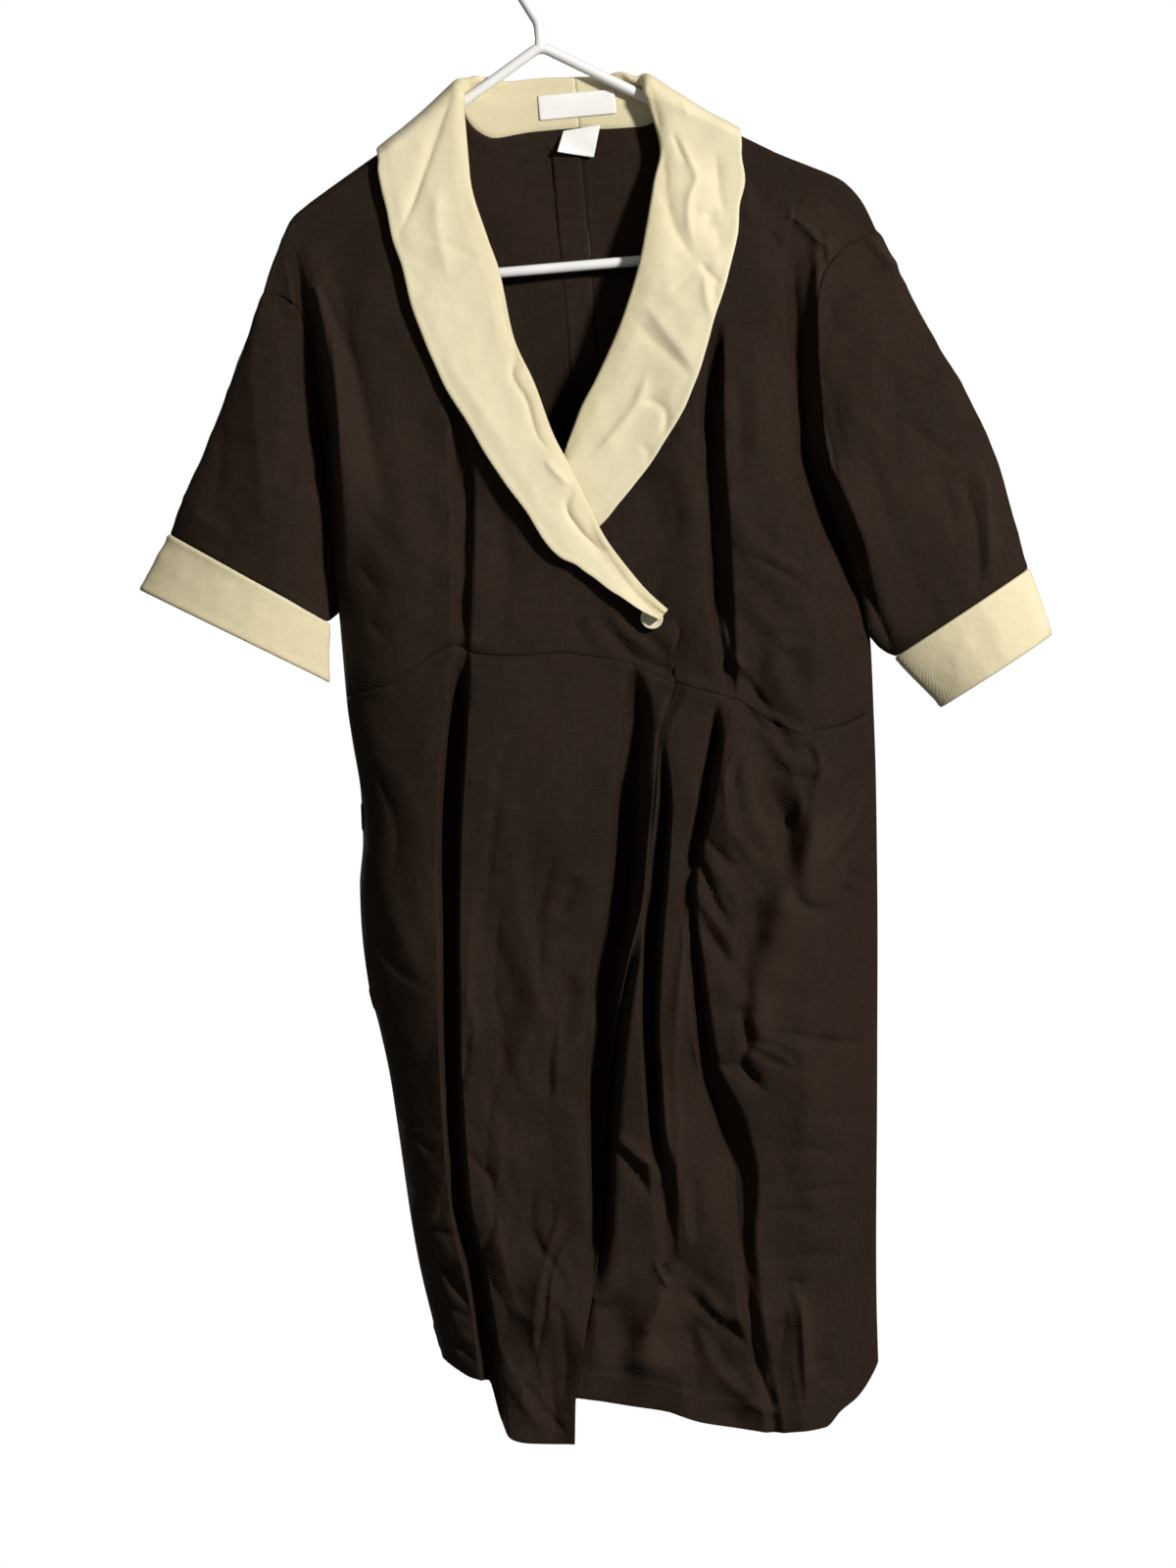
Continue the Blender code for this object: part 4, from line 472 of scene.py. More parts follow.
CREASES_COLLAR = [
    (-1.6, (5, 9), 0, 47, -289, 64, -311, 78, -327, 95, -349),
    (2.2, (5, 9), 0, 59, -281, 73, -304, 84, -321, 97, -343),
    (-2.9, 6, 0.3, 89, -166, 83, -194, 86, -217, 92, -237, 105, -260),
    (2.3, 4, 0, 97, -154, 104, -175, 109, -192, 102, -208, 100, -226, 105, -249),
    (-1.6, 3.2, 0, 93, -154, 99, -172, 103, -183), (-2.3, 9, 0.3, 106, -226, 120, -232, 122, -253),
    (-1.2, 3.2, 0.4, 99, -217, 111, -221, 126, -223), (-2.3, 3.2, 0.5, 104, -256, 114, -270, 122, -279),
    (1.8, 3.2, 0, 107, -263, 108, -282, 112, -306), (-1.3, 3.2, 0, 112, -272, 116, -288, 115, -303),
    (-1, 3.2, 0.4, 105, -263, 94, -270, 78, -280), (2.1, 5, 0.6, 60, -331, 51, -355, 31, -379, 8, -400),
    (-2.3, 4, 0.4, 49, -357, 62, -360, 70, -369, 66, -392), (-1.6, 3.4, 0, 47, -388, 55, -399, 51, -410),
    (-1.8, 6, 0, 125, -172, 125, -197, 128, -228), (1.6, 5, 0, 85, -108, 102, -124, 107, -150),
    (-1.6, 5, 0.3, 78, -112, 83, -135, 86, -158),
    (-2.5, 4, -0.6, -65, -105, -80, -135, -94, -166, -108, -197, -122, -221),
    (-1.3, 12, 0, -114, -229, -102, -242, -107, -270), (1.6, 9, 0, -84, -173, -90, -208, -83, -261),
    (1, 11, 0, -97, -306, -81, -334, -60, -368, -45, -399),
    (-2.5, 3.2, 0.3, -49, -258, -42, -291, -37, -312, -43, -329, -34, -350, -28, -378, -13, -397),
    (-2.9, 3.2, 0.4, -1, -413, -7, -423, -11, -434, -2, -452, 13, -468, 27, -474),
    (2, 4, 0, -25, -395, -12, -412, -5, -418), (-1.3, 3.2, 0, 32, -483, 38, -494, 45, -506),
    (-0.9, 3.2, 0.3, -111, -216, -80, -229, -52, -245),
]
CREASES_ARMHOLE = [
    (-9, (8, 5), 0, -197, -247, -191, -281, -187, -359, -190, -429, -196, -499),
    (12, (6, 22), 0, -192, -204, -186, -247, -181, -281, -177, -360, -180, -430, -186, -500),
    (-11, (12, 6), 0, 181, -242, 176, -284, 170, -354, 170, -411, 181, -448, 193, -484, 206, -542),
    (18, (7, 45), 0, 198, -218, 193, -286, 189, -356, 189, -403, 202, -450, 212, -485, 219, -543),
]
# Where the deep folds are eased, and where the cloth is crumpled: centre, reach across and down, and how much
EASED_PLACES = [
    (107, -763, 35, 75, 1.2), (139, -677, 24, 55, 1.3), (82, -1081, 26, 58, 0.8),
]
CRUMPLED_PLACES = [
    (133, -940, 35, 93, 0.25), (-284, -767, 30, 89, 0.3), (-82, -413, 52, 67, 0.25),
    (94, -443, 52, 67, 0.5), (-156, -978, 35, 122, 1), (-90, -1025, 43, 110, 0.9),
    (-71, -805, 41, 110, 0.45), (28, -1070, 75, 52, 0.8), (98, -733, 41, 127, 1.1),
    (135, -1108, 41, 29, 0.7), (-170, -744, 35, 127, 0.35), (154, -563, 64, 46, 0.7),
    (50, -956, 35, 93, 0.5), (144, -209, 37, 52, 0.6), (-115, -454, 44, 89, 0.35),
    (27, -1040, 44, 44, 0.5),
]
CREASES_BACK = [
    (-1.2, 5, 0.3, -120, -300, -100, -360, -88, -430, -92, -500),
    (-1.0, 4, 0.4, -60, -520, -30, -535, 0, -530),
    (1.2, 8, 0, -60, -240, -64, -330, -58, -420, -66, -500),
    (-1.4, 9, 0, 70, -230, 84, -320, 80, -420, 92, -520), (-1.1, 4, 0.4, 150, -480, 120, -510, 96, -545),
    (1.0, 10, 0, 110, -300, 112, -400, 104, -480), (-1.0, 4, 0, -170, -520, -140, -535, -110, -545),
    (-1.4, 4, 0.4, 150, -620, 128, -670, 100, -730, 84, -800),
    (1.6, 6, 0, 166, -640, 150, -700, 120, -780, 110, -850),
    (-1.2, 3.4, 0.4, -60, -600, -66, -680, -58, -760, -64, -860),
    (-1.2, 4, 0, -176, -700, -150, -716, -124, -712), (-1.3, 4, 0.3, -172, -860, -140, -876, -118, -890),
    (-1.4, 4, 0.3, 60, -700, 52, -800, 66, -900, 58, -1000),
    (1.4, 8, 0, -40, -640, -48, -760, -40, -900, -52, -1040),
    (-1.3, 3.6, 0.4, -64, -960, -40, -1000, -44, -1060),
    (-1.2, 3.6, 0.3, 170, -880, 140, -894, 110, -890), (-1.1, 4, 0, 160, -980, 128, -990, 104, -1006),
    (-1.6, 5, 0.3, 40, -980, 62, -1030, 90, -1080), (1.4, 6, 0, 20, -1000, 10, -1050, 16, -1090),
    (-1.4, 5, 0, -150, -980, -128, -1020, -120, -1070),
    (-1.2, 4, 0.3, -166, -1010, -140, -1030, -116, -1036),
    (-1.2, 5, 0, 140, -1030, 150, -1060, 146, -1096),
]
# The same on the back, by the x of the front
BACK_PLACES = [
    (-130, -980, 60, 130, 0.8), (120, -1000, 70, 120, 0.8), (0, -1010, 60, 90, 0.6),
    (120, -700, 60, 120, 0.5), (-150, -720, 50, 120, 0.4), (70, -420, 60, 120, 0.3),
    (-90, -470, 60, 90, 0.3),
]


class Line:
    """A smooth curve through a table's first column and one other, with no overshoot."""

    def __init__(self, table, column=1):
        rows = sorted((row[0], row[column]) for row in table)
        self.t = np.array([row[0] for row in rows], float)
        self.v = np.array([row[1] for row in rows], float)
        step = np.diff(self.t)
        rise = np.diff(self.v) / step
        slope = np.zeros(len(self.t))
        slope[0], slope[-1] = rise[0], rise[-1]
        same = rise[:-1] * rise[1:] > 0
        first = 2 * step[1:] + step[:-1]
        second = step[1:] + 2 * step[:-1]
        safe = np.where(same, rise[:-1], 1.0), np.where(same, rise[1:], 1.0)
        mean = (first + second) / (first / safe[0] + second / safe[1])
        slope[1:-1] = np.where(same, mean, 0.0)
        self.slope = slope

    def __call__(self, t):
        t = np.clip(np.asarray(t, float), self.t[0], self.t[-1])
        i = np.clip(np.searchsorted(self.t, t, side="right") - 1, 0, len(self.t) - 2)
        h = self.t[i + 1] - self.t[i]
        s = (t - self.t[i]) / h
        start = (1 + 2 * s) * (1 - s) ** 2 * self.v[i] + s * s * (3 - 2 * s) * self.v[i + 1]
        return start + h * s * (1 - s) * ((1 - s) * self.slope[i] - s * self.slope[i + 1])


def smoothstep(t):
    t = np.clip(t, 0.0, 1.0)
    return t * t * (3 - 2 * t)


def ramp(value, start, end):
    """From 0 at start to 1 at end, smoothly."""
    return smoothstep((value - start) / (end - start))


shoulder = Line(SHOULDER)
left_edge = Line(LEFT_EDGE)
right_edge = Line(RIGHT_EDGE)
front_depth = Line(FRONT_DEPTH)
back_depth = Line(BACK_DEPTH)
wrap_edge = Line(WRAP_EDGE)
hidden_edge = Line(HIDDEN_EDGE)
body_edges = {"right": left_edge, "left": right_edge}


def depth_of(x, z, middle):
    """Depth of the hanging cloth from the hanger's plane: over the arm, then out to the middle's depth."""
    below = shoulder(x) - z
    over = np.sqrt(np.clip(OVER_ARM**2 - (OVER_ARM - np.clip(below, 0, OVER_ARM)) ** 2, 0, None))
    inside = np.minimum(x - left_edge(z), right_edge(z) - x)
    rounding = (1 - (1 - np.clip(inside / SIDE_ROUND, 0, 1)) ** 2) ** SIDE_POWER
    held = 1 - ramp(z, HELD_FLAT_TO, UNDERARM)
    near = held + (1 - held) * rounding
    far = ARMHOLE_SHARE * held + (1 - ARMHOLE_SHARE * held) * rounding
    return over * near + (middle(z) - OVER_ARM) * smoothstep(below / SHOULDER_FALL) * far


def fold_lines(folds):
    """Each fold's depth and the smooth curves of its lips, walls and share against z."""
    return [(depth, [Line(rows, column) for column in range(1, 6)]) for depth, rows in folds]


def fold_depth(x, z, lines):
    """How far the deep folds take the cloth back at x and z."""
    total = np.zeros(np.broadcast(x, z).shape)
    for depth, (left, right, left_wall, right_wall, share) in lines:
        rise = smoothstep((x - left(z)) / left_wall(z))
        fall = smoothstep((right(z) - x) / right_wall(z))
        total = total + depth * share(z) * np.minimum(rise, fall)
    return total


folds_over = fold_lines(FOLDS_OVER)
folds_under = fold_lines(FOLDS_UNDER)
folds_back = fold_lines(FOLDS_BACK)


def over_the_folds(depth, folded):
    """A depth with its folds taken out of it, never nearer to the hanger than the cloth over its arm."""
    return np.maximum(depth - folded, np.minimum(depth, OVER_ARM))


def over_y(x, z, folds=folds_over):
    """Outer face of the right front, which laps over."""
    return -over_the_folds(depth_of(x, z, front_depth), fold_depth(x, z, folds))


def under_y(x, z, folds=folds_under):
    """Outer face of the left front: behind the wrap, then level with the right front."""
    shown = over_the_folds(depth_of(x, z, front_depth), fold_depth(x, z, folds))
    past = x - wrap_edge(z)
    bodice = UNDERLAP_NEAR + (UNDERLAP_BACK - UNDERLAP_NEAR) * ramp(past, 45, -15)
    bodice = bodice * ramp(z, -250, -360)
    edge = -over_y(wrap_edge(z), z) - UNDERLAP_SKIRT
    skirt = edge + (shown - edge) * ramp(past, UNDERLAP_START, UNDERLAP_START + 10)
    skirt = skirt + (HIDDEN_DEPTH - skirt) * np.clip(-past / UNDERLAP_DROP, 0, 1)
    below_waist = ramp(z, -525, -555)
    return -((shown - bodice) * (1 - below_waist) + skirt * below_waist)


def back_y(x, z, folds=folds_back):
    """Outer face of the back."""
    return over_the_folds(depth_of(x, z, back_depth), fold_depth(x, z, folds))


def without_folds(front):
    """The same surface with its deep folds left out: the collar lies on this."""
    return lambda x, z: front(x, z, [])


def around(x, z):
    """Distance down the cloth from the ridge over the arm, for a point at x and z."""
    below = np.maximum(shoulder(x) - z, 0)
    arc = OVER_ARM * np.arccos(1 - np.minimum(below / OVER_ARM, 1))
    return arc + np.maximum(below - OVER_ARM, 0)


def below_ridge(g):
    """How far below the ridge the cloth is at a distance g down it: the other way round from around."""
    quarter = OVER_ARM * math.pi / 2
    turned = OVER_ARM * (1 - np.cos(np.minimum(np.abs(g), quarter) / OVER_ARM))
    return turned + np.maximum(np.abs(g) - quarter, 0)


def on_cloth(x, g, front):
    """The point at x and signed distance g from the ridge: in front where g is below 0."""
    x, g = np.broadcast_arrays(np.asarray(x, float), np.asarray(g, float))
    z = shoulder(x) - below_ridge(g)
    return np.stack([x, np.where(g < 0, front(x, z), back_y(x, z)), z], axis=-1)


def lifted(x, g, height, front):
    """The point at a height above the cloth's outer face, along its normal."""
    step = 0.5
    across = on_cloth(x + step, g, front) - on_cloth(x - step, g, front)
    along = on_cloth(x, g + step, front) - on_cloth(x, g - step, front)
    normal = np.cross(across, along)
    normal /= np.linalg.norm(normal, axis=-1, keepdims=True)
    return on_cloth(x, g, front) + np.asarray(height, float)[..., None] * normal


def run_along(points):
    """The distance along a line of points to each of them."""
    return np.concatenate([[0], np.cumsum(np.linalg.norm(np.diff(points, axis=0), axis=1))])


def path(points, shares):
    """Points of a smooth path at shares of its length."""
    points = np.array(points, float)
    length = run_along(points)
    length /= length[-1]
    table = np.column_stack([length, points])
    return np.column_stack([Line(table, 1)(shares), Line(table, 2)(shares)])


def path_at(points):
    return lambda shares: path(points, shares)


def patch(top, bottom, left, right, down, u):
    """Points between four edges: top and bottom are functions of u, left and right a point for each row."""
    v = down[:, None, None]
    w = u[:, :, None]
    upper = np.stack([top(row) for row in u])
    lower = np.stack([bottom(row) for row in u])
    sides = (1 - w) * left[:, None] + w * right[:, None]
    corner_top = (1 - w) * left[0] + w * right[0]
    corner_low = (1 - w) * left[-1] + w * right[-1]
    return (1 - v) * upper + v * lower + sides - (1 - v) * corner_top - v * corner_low


def solve_columns(edges, down, keys, steps):
    """u for each row and column, so that the key columns follow their curves x(z).

    A key that is a number is a share of the way from the key before it to the panel's right edge.
    """
    samples = np.tile(np.linspace(0, 1, 121), (len(down), 1))
    rows = patch(*edges, down, samples)
    found = []
    for i in range(len(down)):
        x, z = rows[i, :, 0], rows[i, :, 1]
        us = [0.0]
        for k, key in enumerate(keys):
            least = us[-1] + NARROWEST
            most = 1 - NARROWEST * (len(keys) - k)
            if callable(key):
                place = np.interp(0, np.maximum.accumulate(x - key(z)), samples[i])
            else:
                place = us[-1] + (1 - us[-1]) * key
            us.append(float(np.clip(place, least, most)))
        us.append(1.0)
        row = [0.0]
        for a, b, n in zip(us[:-1], us[1:], steps):
            row.extend(a + (b - a) * (np.arange(n) + 1) / n)
        found.append(row)
    return np.array(found)


def lips(folds, index, parts=(0, 1, 2, 3)):
    """The key columns of a fold: its lips and the feet of its walls."""
    left, right, left_wall, right_wall, _ = folds[index][1]
    keys = [
        left,
        lambda z: left(z) + left_wall(z),
        lambda z: right(z) - right_wall(z),
        right,
    ]
    return [keys[part] for part in parts]


def from_left(distance):
    """A column at a distance from the body's left edge, as the viewer sees it."""
    return lambda z: left_edge(z) + distance


def from_right(distance):
    """A column at a distance from the body's right edge, as the viewer sees it."""
    return lambda z: right_edge(z) - distance


def with_depth(flat, depth):
    """x and z points put on a surface."""
    x, z = flat[..., 0], flat[..., 1]
    return np.stack([x, depth(x, z), z], axis=-1)


def front_of_seam(points):
    """Holds points of a front panel at or before the side seam's plane."""
    points[..., 1] = np.minimum(points[..., 1], SEAM_OVERLAP)
    return points


def behind_seam(points):
    """Holds points of a back panel at or behind the side seam's plane."""
    points[..., 1] = np.maximum(points[..., 1], -SEAM_OVERLAP)
    return points


def arm_drop():
    """How far the rows over the arm lie below the ridge."""
    return OVER_ARM * (1 - np.cos(np.radians(OVER_ARM_TURNS)))


def over_the_arm(points, on_ridge):
    """Puts the first rows of a panel's x and z points round the arm of the hanger."""
    points[0, :on_ridge, 1] = shoulder(points[0, :on_ridge, 0])
    start = around(points[0, :, 0], points[0, :, 1])
    span = np.maximum(OVER_ARM * math.pi / 2 - start, LEAST_SPAN)
    for row, turn in enumerate(OVER_ARM_TURNS):
        points[row, :, 1] = shoulder(points[row, :, 0]) - below_ridge(start + span * turn / 90)
    return points


def armhole(side, drop=0.0):
    """Points down an armhole: over the ridge, then down its seam, all moved off the body by drop."""
    edge = body_edges[side]
    sign, tip = (-1, LEFT_EDGE[-1]) if side == "right" else (1, RIGHT_EDGE[-1])
    z = np.concatenate([np.linspace(tip[0], tip[0] - 40, 12), np.linspace(tip[0] - 45, UNDERARM, 30)])
    points = path(np.column_stack([edge(z), z]), np.array(ARMHOLE_SHARES))
    x = tip[1] - sign * np.array([0.0, 0.3, 0.8, 1.6])
    points = np.concatenate([np.column_stack([x, shoulder(x) - arm_drop()]), points])
    points[:, 0] += sign * drop
    return points


class Collar:
    """Half of the shawl collar: stations along it and a profile across each."""

    def __init__(self, table, front):
        self.front = front
        table = np.array(table, float)
        side, roll_x, roll_z, edge_x, edge_z, stand, height = table.T
        signed = [
            [s * around(x, z) if s else 0.0 for s, x, z in zip(side, xs, zs)]
            for xs, zs in ((roll_x, roll_z), (edge_x, edge_z))
        ]
        columns = np.column_stack([roll_x, signed[0], edge_x, signed[1], stand, height])
        self.ridge = float(np.flatnonzero(side == 0)[0])
        index = np.arange(len(table))
        self.lines = [Line(np.column_stack([index, columns[:, k]])) for k in range(columns.shape[1])]
        fine = np.linspace(self.ridge, index[-1], 400)
        self.fine, self.run = fine, run_along(np.array([self.seam(t) for t in fine]))

    def at(self, t):
        return [line(t) for line in self.lines]

    def foot(self, t, distance):
        """x and g of the foot of the collar at a distance from the roll."""
        roll_x, roll_g, edge_x, edge_g, _, _ = self.at(t)
        share = distance / self.width(t)
        return roll_x + (edge_x - roll_x) * share, roll_g + (edge_g - roll_g) * share

    def width(self, t):
        roll_x, roll_g, edge_x, edge_g, _, _ = self.at(t)
        return np.hypot(edge_x - roll_x, edge_g - roll_g)

    def seam(self, t, extra=0.0):
        """The point on the cloth where the stand is sewn on."""
        x, g = self.foot(t, self.at(t)[4] + extra)
        return on_cloth(x, g, self.front)

    def station(self, distance):
        """The station at a distance along the front seam from the shoulder."""
        return float(np.interp(distance, self.run, self.fine))

    def stand_height(self, t, distance):
        stand, height = self.at(t)[4:]
        inner = 0.35 * height - 0.5
        places = [0, 1.5, 0.25 * stand, 0.5 * stand, stand]
        return float(np.interp(distance, places, [inner, inner, 1.4, -0.1, -CLOTH / 2]))

    def profile(self, t):
        """Distance from the roll and height above the finish, from the seam round the roll to the edge."""
        stand, height = self.at(t)[4:]
        width = self.width(t)
        tip = smoothstep((self.run_at(t) - self.run[-1] + TIP_STRETCH) / TIP_RISE)
        edge = COLLAR_EDGE_LIFT + (TIP_LIFT - COLLAR_EDGE_LIFT) * float(tip)
        near = min(1.5, 0.12 * width)
        inner = 0.35 * height - 0.5
        quarter = max(0.25 * stand, near + 0.4)
        steps = [(stand, -CLOTH / 2), (0.5 * stand, -0.1), (quarter, 1.4), (near, inner), (0, 0.52 * height)]
        steps += [(near, 0.86 * height), (min(5, 0.3 * width), max(0.96 * height, edge))]
        for share in (0.45, 0.72, 1.0):
            drop = (0.96 * height - edge) * (1 - share) ** 1.5
            steps.append((share * width, edge + max(drop, 0.0)))
        return steps

    def run_at(self, t):
        return float(np.interp(t, self.fine, self.run))

    def row(self, t):
        return [lifted(*self.foot(t, d), h, self.front) for d, h in self.profile(t)]


def seam_distances(total):
    """Distances along the front seam from the shoulder: close together over the arm."""
    start = list(np.radians(OVER_ARM_TURNS) * OVER_ARM)
    rows = len(ARMHOLE_SHARES) + SIDE_ROWS - FREE_EDGE_POINTS
    rest = np.linspace(start[-1], total, rows + 1)
    return start + list(rest[1:])


def slopes(values):
    """Slopes of a smooth curve with no overshoot through the rows of an array, one row to a step."""
    rise = np.diff(values, axis=0)
    made = np.zeros_like(values)
    made[0], made[-1] = rise[0], rise[-1]
    before, after = rise[:-1], rise[1:]
    same = before * after > 0
    made[1:-1] = np.where(same, 2 * before * after / np.where(same, before + after, 1.0), 0.0)
    return made


def at_rows(values, t):
    """The rows of an array at the places t, along that smooth curve."""
    i = np.clip(np.floor(t).astype(int), 0, len(values) - 2)
    s = (t - i).reshape(-1, *[1] * (values.ndim - 1))
    slope = slopes(values)
    start = (1 + 2 * s) * (1 - s) ** 2 * values[i] + s * s * (3 - 2 * s) * values[i + 1]
    return start + s * (1 - s) * ((1 - s) * slope[i] - s * slope[i + 1])


def at_grid(values, rows, cols):
    """The values of a grid at places between its rows and columns."""
    return np.swapaxes(at_rows(np.swapaxes(at_rows(values, rows), 0, 1), cols), 0, 1)


def places(points, cell, most=14):
    """Places between the rows of a grid, so that no two are much further apart than a cell."""
    gaps = np.quantile(np.linalg.norm(np.diff(points, axis=0), axis=2), 0.7, axis=1)
    made = [0.0]
    for i, gap in enumerate(gaps):
        count = int(np.clip(np.ceil(gap / cell), 1, most))
        made.extend(i + (np.arange(count) + 1) / count)
    return np.array(made)


def finer(flat, depth, cell):
    """A panel's x and z points at a finer step."""
    coarse = with_depth(flat, depth)
    rows = places(coarse, cell, 24)
    cols = places(np.swapaxes(coarse, 0, 1), cell, 12)
    return at_grid(flat, rows, cols)


def distance_in(points, edges):
    """Distance of each point of a grid from the nearest of the named edges, along the cloth."""
    down = np.linalg.norm(np.diff(points, axis=0), axis=2)
    across = np.linalg.norm(np.diff(points, axis=1), axis=2)
    zero_row, zero_col = np.zeros((1, points.shape[1])), np.zeros((points.shape[0], 1))
    found = np.full(points.shape[:2], 1e3)
    runs = {
        "top": np.concatenate([zero_row, np.cumsum(down, axis=0)]),
        "bottom": np.concatenate([np.cumsum(down[::-1], axis=0)[::-1], zero_row]),
        "left": np.concatenate([zero_col, np.cumsum(across, axis=1)], axis=1),
        "right": np.concatenate([np.cumsum(across[:, ::-1], axis=1)[:, ::-1], zero_col], axis=1),
    }
    for edge in edges:
        found = np.minimum(found, runs[edge])
    return found


def relief(x, z, marks):
    """Height of the creases at x and z.

    A mark is height, width, lean, then x and z of each point that it runs through. A ridge is above 0 and a
    trough below it. A pair of widths is that of the viewer's left and right of a line that runs down, and the
    lean raises one side of the line and lowers the other.
    """
    total = np.zeros(x.shape)
    for height, width, lean, *route in marks:
        line = np.reshape(route, (-1, 2)).astype(float)
        if len(line) > 2:
            line = path(line, np.linspace(0, 1, 4 * len(line) - 3))
        left_width, right_width = width if isinstance(width, tuple) else (width, width)
        reach = CREASE_REACH * max(left_width, right_width)
        low, high = line.min(axis=0) - reach, line.max(axis=0) + reach
        near = (x > low[0]) & (x < high[0]) & (z > low[1]) & (z < high[1])
        if not near.any():
            continue
        px, pz = x[near], z[near]
        best = np.full(px.shape, 1e9)
        side = np.zeros(px.shape)
        share = np.zeros(px.shape)
        run = run_along(line)
        for k in range(len(line) - 1):
            step = line[k + 1] - line[k]
            length = max(float(np.linalg.norm(step)), 1e-6)
            t = np.clip(((px - line[k, 0]) * step[0] + (pz - line[k, 1]) * step[1]) / length**2, 0, 1)
            dx, dz = px - line[k, 0] - t * step[0], pz - line[k, 1] - t * step[1]
            gap = np.hypot(dx, dz)
            closer = gap < best
            best = np.where(closer, gap, best)
            side = np.where(closer, np.sign(step[0] * dz - step[1] * dx), side)
            share = np.where(closer, (run[k] + t * length) / run[-1], share)
        taper = smoothstep(share / CREASE_TAPER) * smoothstep((1 - share) / CREASE_TAPER)
        off = best / (np.where(side > 0, right_width, left_width) * (0.45 + 0.55 * taper))
        crest = np.exp(-1.5 * (np.sqrt(off**2 + 0.05) - 0.22))
        total[near] += height * taper * crest * (1 + lean * side * np.tanh(off))
    return total


def billow(x, z, seed, size=1.0):
    """Slow unevenness of hanging cloth, from a few long waves."""
    draw = np.random.RandomState(seed)
    total = np.zeros(np.shape(x))
    for _ in range(9):
        wave_x, wave_z = draw.uniform(55, 190), draw.uniform(150, 480)
        turn = draw.uniform(-0.5, 0.5)
        phase = draw.uniform(0, 2 * math.pi)
        total = total + np.sin(2 * math.pi * ((x + turn * z) / wave_x + z / wave_z) + phase)
    return size * total / 3


def rumple(x, z, seed, size, scale):
    """Small uneven puckers, with creased tops."""
    draw = np.random.RandomState(seed)
    total = np.zeros(np.shape(x))
    for octave in range(3):
        for _ in range(3):
            angle = draw.uniform(0, math.pi)
            wave = scale / 1.7**octave * draw.uniform(0.7, 1.4)
            bend = 0.6 * np.sin(2 * math.pi * (x * math.sin(angle) - z * math.cos(angle)) / (wave * 2.3))
            run = 2 * math.pi * (x * math.cos(angle) + z * math.sin(angle)) / wave
            total = total + (1 - 2 * np.abs(np.sin(run / 2 + bend + draw.uniform(0, 6.28)))) / 2.1**octave
    return size * total / 3


def facets(x, z, seed, size, scale):
    """Flat facets of uneven sizes with sharp creases between them, as crumpled cloth has."""
    draw = np.random.RandomState(seed)
    total = np.zeros(np.shape(x))
    for share, step in ((1.0, scale), (0.6, 0.5 * scale)):
        heights = draw.uniform(-1, 1, (FACET_ROWS, FACET_ROWS))
        angle, shift = draw.uniform(-0.5, 0.5), draw.uniform(0, 9, 2)
        across = (x * math.cos(angle) + z * math.sin(angle)) / step
        down = (z * math.cos(angle) - x * math.sin(angle)) / (FACET_STRETCH * step)
        p = across + 0.4 * np.sin(1.9 * down + shift[0]) + 32
        q = down + 0.4 * np.sin(1.7 * across + shift[1]) + 48
        i, j = np.floor(p).astype(int) % (FACET_ROWS - 1), np.floor(q).astype(int) % (FACET_ROWS - 1)
        u, v = p - np.floor(p), q - np.floor(q)
        near, right, below, far = heights[i, j], heights[i + 1, j], heights[i, j + 1], heights[i + 1, j + 1]
        near_half = near + u * (right - near) + v * (below - near)
        far_half = far + (1 - u) * (below - far) + (1 - v) * (right - far)
        total = total + share * np.where(u + v < 1, near_half, far_half)
    return size * total


def outward(grid, closed):
    """Unit normals of a grid that point away from the body."""
    ends = np.concatenate([grid, grid[:, :1]], axis=1) if closed else grid
    cell = np.cross(ends[1:, 1:] - ends[:-1, :-1], ends[1:, :-1] - ends[:-1, 1:])
    if closed:
        cell = np.concatenate([cell[:, -1:], cell], axis=1)
        total = cell[:, 1:] + cell[:, :-1]
        total = np.concatenate([total[:1], total[1:] + total[:-1], total[-1:]])
    else:
        padded = np.pad(cell, ((1, 1), (1, 1), (0, 0)))
        total = padded[1:, 1:] + padded[1:, :-1] + padded[:-1, 1:] + padded[:-1, :-1]
    normal = total / np.maximum(np.linalg.norm(total, axis=2, keepdims=True), 1e-9)
    centre = grid.mean(axis=1, keepdims=True) if closed else np.zeros(3)
    from_centre = (grid - centre) * ([1, 1, 1] if closed else Y_AXIS)
    return -normal if (normal * from_centre).sum() < 0 else normal


